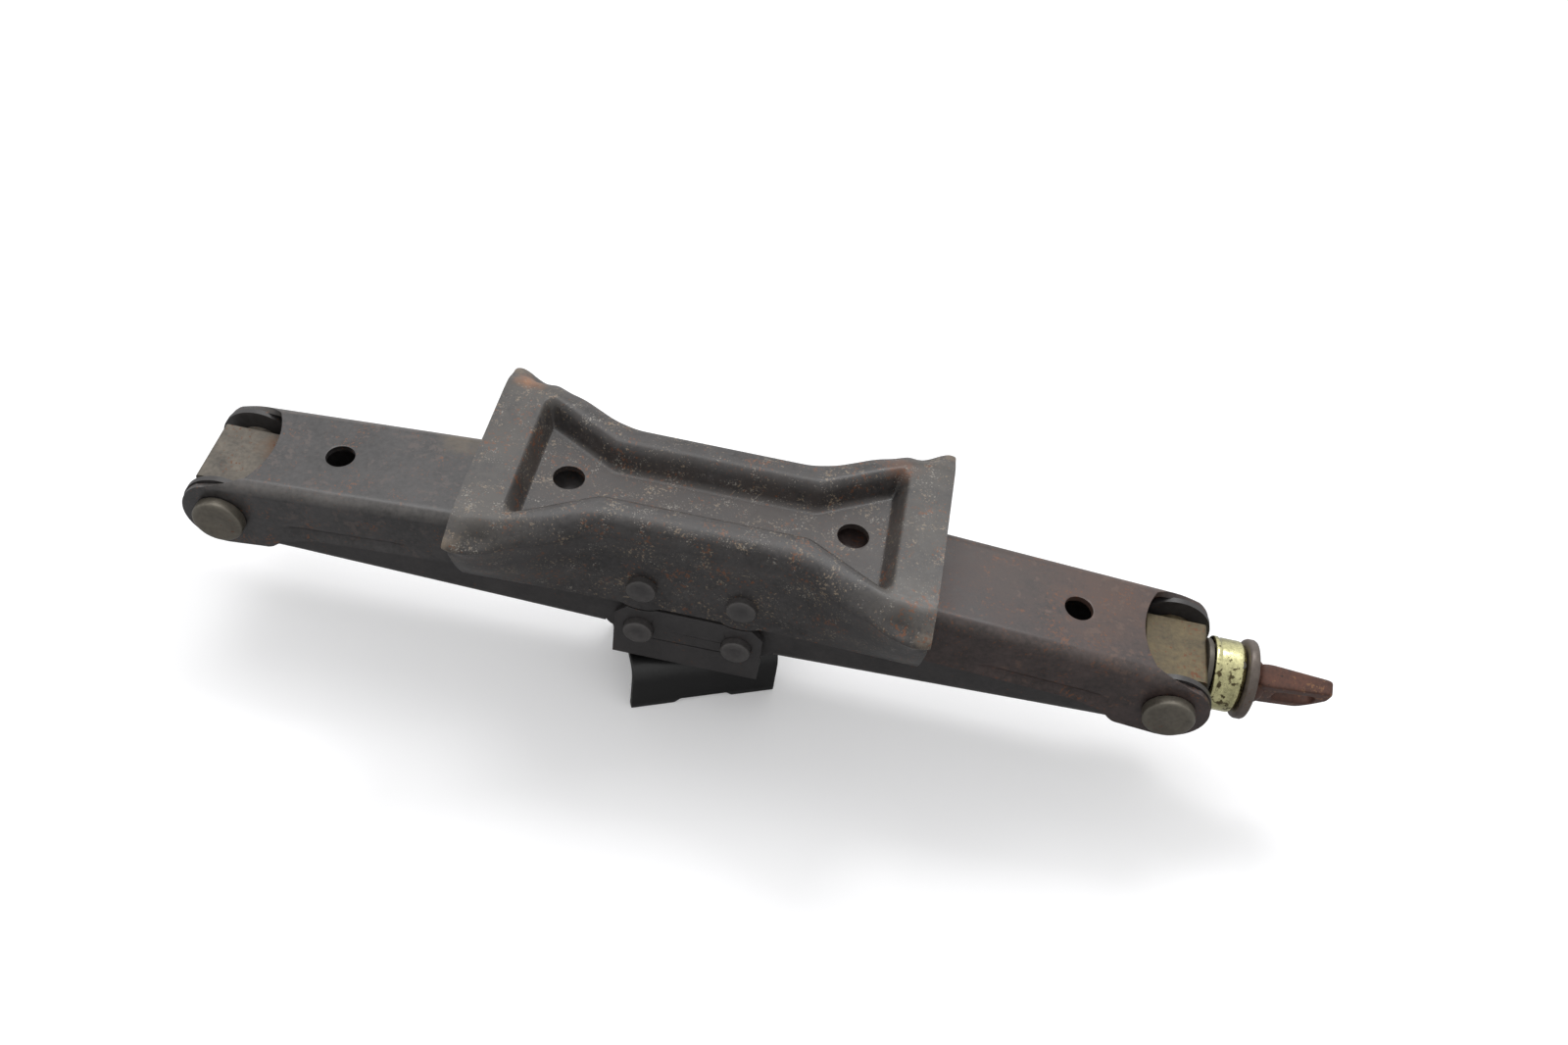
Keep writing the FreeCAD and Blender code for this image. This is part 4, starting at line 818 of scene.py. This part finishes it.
def thread_patch(start, end, radius, pitch, depth, steps=28):
    """A trapezoidal thread: the radius follows how far a place is, in pitches, from the helix's crest."""
    x = np.linspace(start, end, int((end - start) / pitch * 6))
    turn = np.linspace(0, 2 * np.pi, steps, endpoint=False)
    phase = np.abs(((x[:, None] / pitch - turn[None, :] / (2 * np.pi)) % 1.0) - 0.5) * 2
    crest = np.clip((phase - 0.30) / 0.32, 0, 1)
    fade = smooth(start, start + 2, x) * (1 - smooth(end - 6, end, x))
    r = radius - depth * crest * fade[:, None]
    points = np.stack([np.broadcast_to(x[:, None], r.shape), r * np.cos(turn), r * np.sin(turn)], axis=-1)
    return Patch(points + (0, 0, SCREW_LEVEL), 1 - crest, closed=True)


def closed_loop(corners, radii, count):
    """A closed outline with rounded corners, as evenly spaced points starting at its first corner's run."""
    ring = np.asarray(corners, float)
    loop = np.concatenate([(ring[-1:] + ring[:1]) / 2, ring, (ring[-1:] + ring[:1]) / 2])
    line, _ = rounded(loop, radii, [6] * len(radii) + [6], bend=9)
    gaps = np.linalg.norm(np.diff(line, axis=0), axis=-1)
    run = np.concatenate([[0], np.cumsum(gaps)])
    at = np.linspace(0, run[-1], count, endpoint=False)
    return np.stack([np.interp(at, run, line[:, 0]), np.interp(at, run, line[:, 1])], axis=-1)


def square(value, power):
    """A wave squared off by a power below one."""
    return np.sign(value) * np.abs(value) ** power


def eye_patch(root, tip, lean, slot_middle):
    """The crank eye as a ring carried round its slot.

    Between the slot's outline and the blade's outline the section is a rounded bar, squarer on its flats,
    whose thickness tapers from the neck to the tip.
    """
    count = 120
    half, slot_half, slot_reach = 9.0, 4.2, 3.3
    outer = closed_loop(((root, half), (tip, half), (tip, 1.6), (tip - 8.2, -half), (root, -half)),
        (4.0, 2.6, 1.6, 2.5, 4.0), count)
    inner = closed_loop(((slot_middle - slot_reach - slot_half, slot_half),
        (slot_middle + slot_reach + slot_half, slot_half), (slot_middle + slot_reach + slot_half,
        -slot_half), (slot_middle - slot_reach - slot_half, -slot_half)), (4.2,) * 4, count)
    inner_turn = np.unwrap(np.arctan2(inner[:, 1], inner[:, 0] - slot_middle))
    outer_turn = np.unwrap(np.arctan2(outer[:, 1], outer[:, 0] - slot_middle))
    order = np.argsort(-inner_turn)
    wrap = np.concatenate([inner_turn[order], inner_turn[order] - 2 * np.pi])
    again = np.concatenate([inner[order], inner[order]])
    rank = np.argsort(wrap)
    at = (outer_turn - wrap[rank][0]) % (2 * np.pi) + wrap[rank][0]
    inside = np.stack([np.interp(at, wrap[rank], again[rank][:, k]) for k in (0, 1)], axis=-1)
    section = np.linspace(0, 2 * np.pi, 44, endpoint=False)
    over = (square(np.cos(section), 0.32)[None, :, None] + 1) / 2
    flat = inside[:, None, :] * (1 - over) + outer[:, None, :] * over
    thick = np.interp(flat[..., 0], (root, root + 6, tip), (9.2, 9.2, 5.8))
    y = thick / 2 * square(np.sin(section), 0.30)[None, :]
    c, s = math.cos(lean), math.sin(lean)
    width = flat[..., 1]
    points = np.stack([flat[..., 0], y * c - width * s, y * s + width * c + SCREW_LEVEL], axis=-1)
    return Patch(np.concatenate([points, points[:1]]), closed=True)


class JACK_OT_screw(bpy.types.Operator):
    """Makes the lead screw with its thread, its neck and its crank eye"""
    bl_idname = "jack.screw"
    bl_label = "Lead screw"

    def execute(self, context):
        sheet = context.scene.jack_sheet
        low, high = node_box("lead_screw")
        face = node_box("thrust_trunnion")[1][0]
        root = node_box("thrust_washer")[1][0]
        radius = SCREW_RADIUS
        thread_end = face - 26.0
        shank = turned_patch(((radius, thread_end), (radius, root + 0.2)), (0, 0, SCREW_LEVEL), "X", 28)
        cap = turned_patch(((0, low[0]), (radius - 1.4, low[0]), (radius, low[0] + 0.01)),
            (0, 0, SCREW_LEVEL), "X", 28)
        thread = thread_patch(low[0] + 0.01, thread_end, radius, sheet.thread_pitch, sheet.thread_depth)
        piece("lead_screw_thread", [cap, thread, shank], "screw", ["lead_screw"], MATERIALS["thread"])
        neck = ((0, root - 0.5), (7.6, root - 0.5), (8.2, root), (8.2, root + 1.6), (7.7, root + 3.2),
                (6.2, root + 5.0), (4.0, root + 5.8), (0, root + 6.0))
        lean = math.radians(EYE_LEAN)
        piece("crank_eye", [turned_patch(neck, (0, 0, SCREW_LEVEL), "X", 48),
            eye_patch(root + 1.0, high[0], lean, root + 17.5)], "screw", [], MATERIALS["eye"])
        return {"FINISHED"}


class JACK_OT_bearing(bpy.types.Operator):
    """Makes the zinc collar and the dark washer, and finishes the bearing inside"""
    bl_idname = "jack.bearing"
    bl_label = "Bearing"

    def execute(self, context):
        low, high = node_box("bearing_collar")
        outside = high[1]
        start, end = low[0], high[0]
        centre = (0, 0, SCREW_LEVEL)
        collar = ((12.95, end - 4.9), (12.95, start + 0.2), (13.2, start), (outside - 0.5, start),
            (outside - 0.1, start + 0.25), (outside, start + 0.8), (outside, start + 1.6),
            (outside - 0.5, start + 2.1), (outside - 0.55, start + 2.7), (outside - 0.25, start + 3.3),
            (outside - 0.25, end - 2.6), (outside - 0.45, end - 1.7), (outside - 1.2, end - 0.7),
            (outside - 2.4, end), (6.0, end), (6.0, end - 4.9), (12.95, end - 4.9))
        piece("bearing_collar_turned", [turned_patch(collar, centre, "X", 72)], "screw", ["bearing_collar"],
              MATERIALS["zinc"])
        low, high = node_box("thrust_washer")
        rim, start, end = high[1], low[0], high[0]
        washer = ((6.0, start), (rim - 1.4, start), (rim - 0.4, start + 0.4), (rim, start + 1.2),
            (rim, end - 1.1), (rim - 0.4, end - 0.35), (rim - 1.3, end), (rim - 3.2, end),
            (rim - 3.8, end - 0.45), (9.6, end - 0.45), (9.0, end), (6.0, end), (6.0, start))
        wear_and_sheen = (0, 0, 0.6, 1, 1, 0.8, 0.5, 0, 0, 0, 0.2, 0, 0)
        piece("thrust_washer_turned", [turned_patch(washer, centre, "X", 72, wear_and_sheen)], "screw",
            ["thrust_washer"], MATERIALS["dark_washer"])
        for name in ("thrust_race_inner", "thrust_race_outer", "thrust_balls", "retaining_pin"):
            keep_node(name, MATERIALS["bearing"], 0.0 if name == "thrust_balls" else 0.2)
        return {"FINISHED"}


# ---------------------------------------------------------------- bracket, saddle and trunnions

class JACK_OT_saddle(bpy.types.Operator):
    """Makes the load saddle as one rounded channel and finishes the swivel under the bracket"""
    bl_idname = "jack.saddle"
    bl_label = "Load saddle"

    def execute(self, context):
        low, high = node_box("load_saddle")
        top, half_length, half_width, yaw = high[2], 29.0, 21.5, math.radians(SADDLE_TURN)
        x = np.concatenate([-np.linspace(half_length, 13.5, 18), np.linspace(-13, -9, 9),
            np.linspace(-8, 8, 16), np.linspace(9, 13, 9), np.linspace(13.5, half_length, 18)])
        lip = low[2] + 2.0 * (1 - smooth(9.0, 12.0, np.abs(x)))
        rows = ((0 * x, top + 0 * x), (half_width + 0 * x, top + 0 * x), (half_width + 0 * x, lip))
        half, bends = rounded(np.stack([np.stack(row, -1) for row in rows], axis=1), (8.5,), (12, 10),
            bend=13)
        section = np.concatenate([half[:, :0:-1] * (-1, 1), half], axis=1)
        along = np.broadcast_to(x[:, None], section.shape[:2])
        c, s = math.cos(yaw), math.sin(yaw)
        points = np.stack([along * c - section[..., 0] * s, along * s + section[..., 0] * c,
            section[..., 1]], -1)
        # Lighter grey on the lips' lower edges and the bends: partly worn paint, partly a painted highlight
        # on the lit lip edge.
        lip_wear_and_sheen = np.clip(1 - (section[..., 1] - low[2]) / 3.0, 0, 1)
        piece("load_saddle_channel", [Patch(points, np.concatenate([bends[:0:-1], bends])[None,
            :] * 0.4 + lip_wear_and_sheen)], "saddle", ["load_saddle"], MATERIALS["saddle"],
            facing=((0, 0, top), (0, 0, 1)), sheet=3.2, bevel=0.4)
        keep_node("saddle_bracket", MATERIALS["bracket"], 0.3)
        keep_node("bracket_spacers", MATERIALS["pivot_pin"], 0.2)
        keep_node("swivel_rivet", MATERIALS["bracket"], 0.4)
        keep_node("swivel_washer", MATERIALS["pivot_pin"], 0.2)
        return {"FINISHED"}


class JACK_OT_trunnions(bpy.types.Operator):
    """Finishes the two forged trunnions"""
    bl_idname = "jack.trunnions"
    bl_label = "Trunnions"

    def execute(self, context):
        keep_node("nut_trunnion", MATERIALS["forging"], 0.3)
        keep_node("thrust_trunnion", MATERIALS["thrust_forging"], 0.3)
        return {"FINISHED"}


# ---------------------------------------------------------------- stage

LIGHTS = (("key", (-0.45, 0.60, 1.25), (0, 0, 0.05), (0.8, 0.6), 4.6),
    ("second", (0.24, 0.70, 1.15), (0.15, 0, 0.05), (0.4, 0.25), 3.4))
SKY_FRONT, SKY_BACK = 0.36, 1.06  # strength of the sky before the jack and behind it
FLOOR_BOUNCE = 0.46  # share of the floor's colour that lights the jack from below
FLOOR_GLOW = 0.20  # light added to the floor where the camera sees it, so that shadows stay pale


def area_light(name, place, aim, size, power):
    """A rectangular light at a place in metres, turned to its aim, with its power in watts."""
    light = bpy.data.lights.new(name, "AREA")
    light.shape, light.size, light.size_y = "RECTANGLE", size[0], size[1]
    light.energy = power
    made = bpy.data.objects.new(name, light)
    bpy.context.scene.collection.objects.link(made)
    made.location = place
    made.rotation_euler = (Vector(aim) - Vector(place)).to_track_quat("-Z", "Y").to_euler()


def set_camera(stage):
    """A camera on a sphere round the target, turned about its own axis."""
    az, el, roll = (math.radians(value) for value in (stage.azimuth, stage.elevation, stage.roll))
    back = Vector((math.sin(az) * math.cos(el), -math.cos(az) * math.cos(el), math.sin(el)))
    right = Vector((math.cos(az), math.sin(az), 0))
    up = back.cross(right)
    across = right * math.cos(roll) + up * math.sin(roll)
    upward = up * math.cos(roll) - right * math.sin(roll)
    target = Vector((27.37, 0.0, SCREW_LEVEL + 34.01)) * MM
    camera = bpy.data.cameras.new("camera")
    camera.lens, camera.sensor_width, camera.clip_start = stage.lens, 36.0, 0.01
    made = bpy.data.objects.new("camera", camera)
    made.matrix_world = Matrix.Translation(target + back * stage.distance * MM) @ Matrix(
        (across, upward, back)).transposed().to_4x4()
    bpy.context.scene.collection.objects.link(made)
    bpy.context.scene.camera = made


class JACK_OT_stage(bpy.types.Operator):
    """Makes the floor, the light and the camera"""
    bl_idname = "jack.stage"
    bl_label = "Stage"

    def execute(self, context):
        stage = context.scene.jack_stage
        u, v = np.meshgrid(np.linspace(-4, 4, 9), np.linspace(-4, 4, 9), indexing="ij")
        mesh = bpy.data.meshes.new("floor")
        grid = Patch(np.stack([u, v, 0 * u], -1))
        mesh.from_pydata(grid.points.reshape(-1, 3).tolist(), [], grid.quads(0).tolist())
        floor = bpy.data.objects.new("floor", mesh)
        context.scene.collection.objects.link(floor)
        paper = bpy.data.materials.new("floor_paper")
        paper.use_nodes = True
        tree = paper.node_tree
        place = tree.nodes.new("ShaderNodeTexCoord").outputs["Object"]
        cloud = noise(tree, place, 3.0, 2.0)
        tone = mix_colour(tree, cloud, rgba(stage.floor, 0.985), rgba(stage.floor, 1.015))
        seen = tree.nodes.new("ShaderNodeLightPath").outputs["Is Camera Ray"]
        bounced = mix_colour(tree, seen, rgba(stage.floor, FLOOR_BOUNCE), tone)
        tree.links.new(bounced, tree.nodes["Principled BSDF"].inputs["Base Color"])
        tree.links.new(compute(tree, "MULTIPLY", seen, FLOOR_GLOW, clamp=True),
            tree.nodes["Principled BSDF"].inputs["Emission Strength"])
        tree.nodes["Principled BSDF"].inputs["Emission Color"].default_value = (1.0, 1.0, 1.0, 1.0)
        tree.nodes["Principled BSDF"].inputs["Roughness"].default_value = 0.8
        mesh.materials.append(paper)
        world = bpy.data.worlds.new("studio")
        world.use_nodes = True
        sky = world.node_tree
        sky.nodes["Background"].inputs["Color"].default_value = (1.0, 1.0, 1.0, 1.0)
        way = sky.nodes.new("ShaderNodeTexCoord").outputs["Generated"]
        lean = add(sky, "ShaderNodeVectorMath", {0: way, 1: (-0.1, 0.45, 0.6)}, operation="DOT_PRODUCT")
        ramp = remap(sky, lean.outputs["Value"], -0.5, 0.7, SKY_FRONT, SKY_BACK)
        seen = sky.nodes.new("ShaderNodeLightPath").outputs["Is Camera Ray"]
        sky.links.new(blend(sky, seen, ramp, 1.0), sky.nodes["Background"].inputs["Strength"])
        context.scene.world = world
        for light in LIGHTS:
            area_light(*light)
        context.scene.view_settings.view_transform = "Standard"
        set_camera(stage)
        return {"FINISHED"}


# ---------------------------------------------------------------- add-on

OPERATORS = (JACK_OT_finishes, JACK_OT_ground_plate, JACK_OT_arms, JACK_OT_pins, JACK_OT_screw,
    JACK_OT_bearing, JACK_OT_saddle, JACK_OT_trunnions, JACK_OT_stage)


class JACK_PT_maker(bpy.types.Panel):
    """Lists the jack's pieces and settings"""
    bl_idname = "JACK_PT_maker"
    bl_label = "Scissor jack"
    bl_space_type = "VIEW_3D"
    bl_region_type = "UI"
    bl_category = "Jack"

    def draw(self, context):
        for operator in OPERATORS:
            self.layout.operator(operator.bl_idname)
        for settings in (context.scene.jack_sheet, context.scene.jack_finish, context.scene.jack_stage):
            box = self.layout.box()
            for name in settings.__annotations__:
                box.prop(settings, name)


SETTINGS = (("jack_sheet", JackSheetSettings), ("jack_finish", JackFinishSettings),
    ("jack_stage", JackStageSettings))


def register():
    for name, settings in SETTINGS:
        bpy.utils.register_class(settings)
        setattr(bpy.types.Scene, name, PointerProperty(type=settings))
    for item in OPERATORS + (JACK_PT_maker,):
        bpy.utils.register_class(item)


def unregister():
    for item in reversed(OPERATORS + (JACK_PT_maker,)):
        bpy.utils.unregister_class(item)
    for name, settings in SETTINGS:
        delattr(bpy.types.Scene, name)
        bpy.utils.unregister_class(settings)


def main():
    register()
    for operator in OPERATORS:
        group_name, action = operator.bl_idname.split(".")
        getattr(getattr(bpy.ops, group_name), action)()


if __name__ == "__main__":
    main()
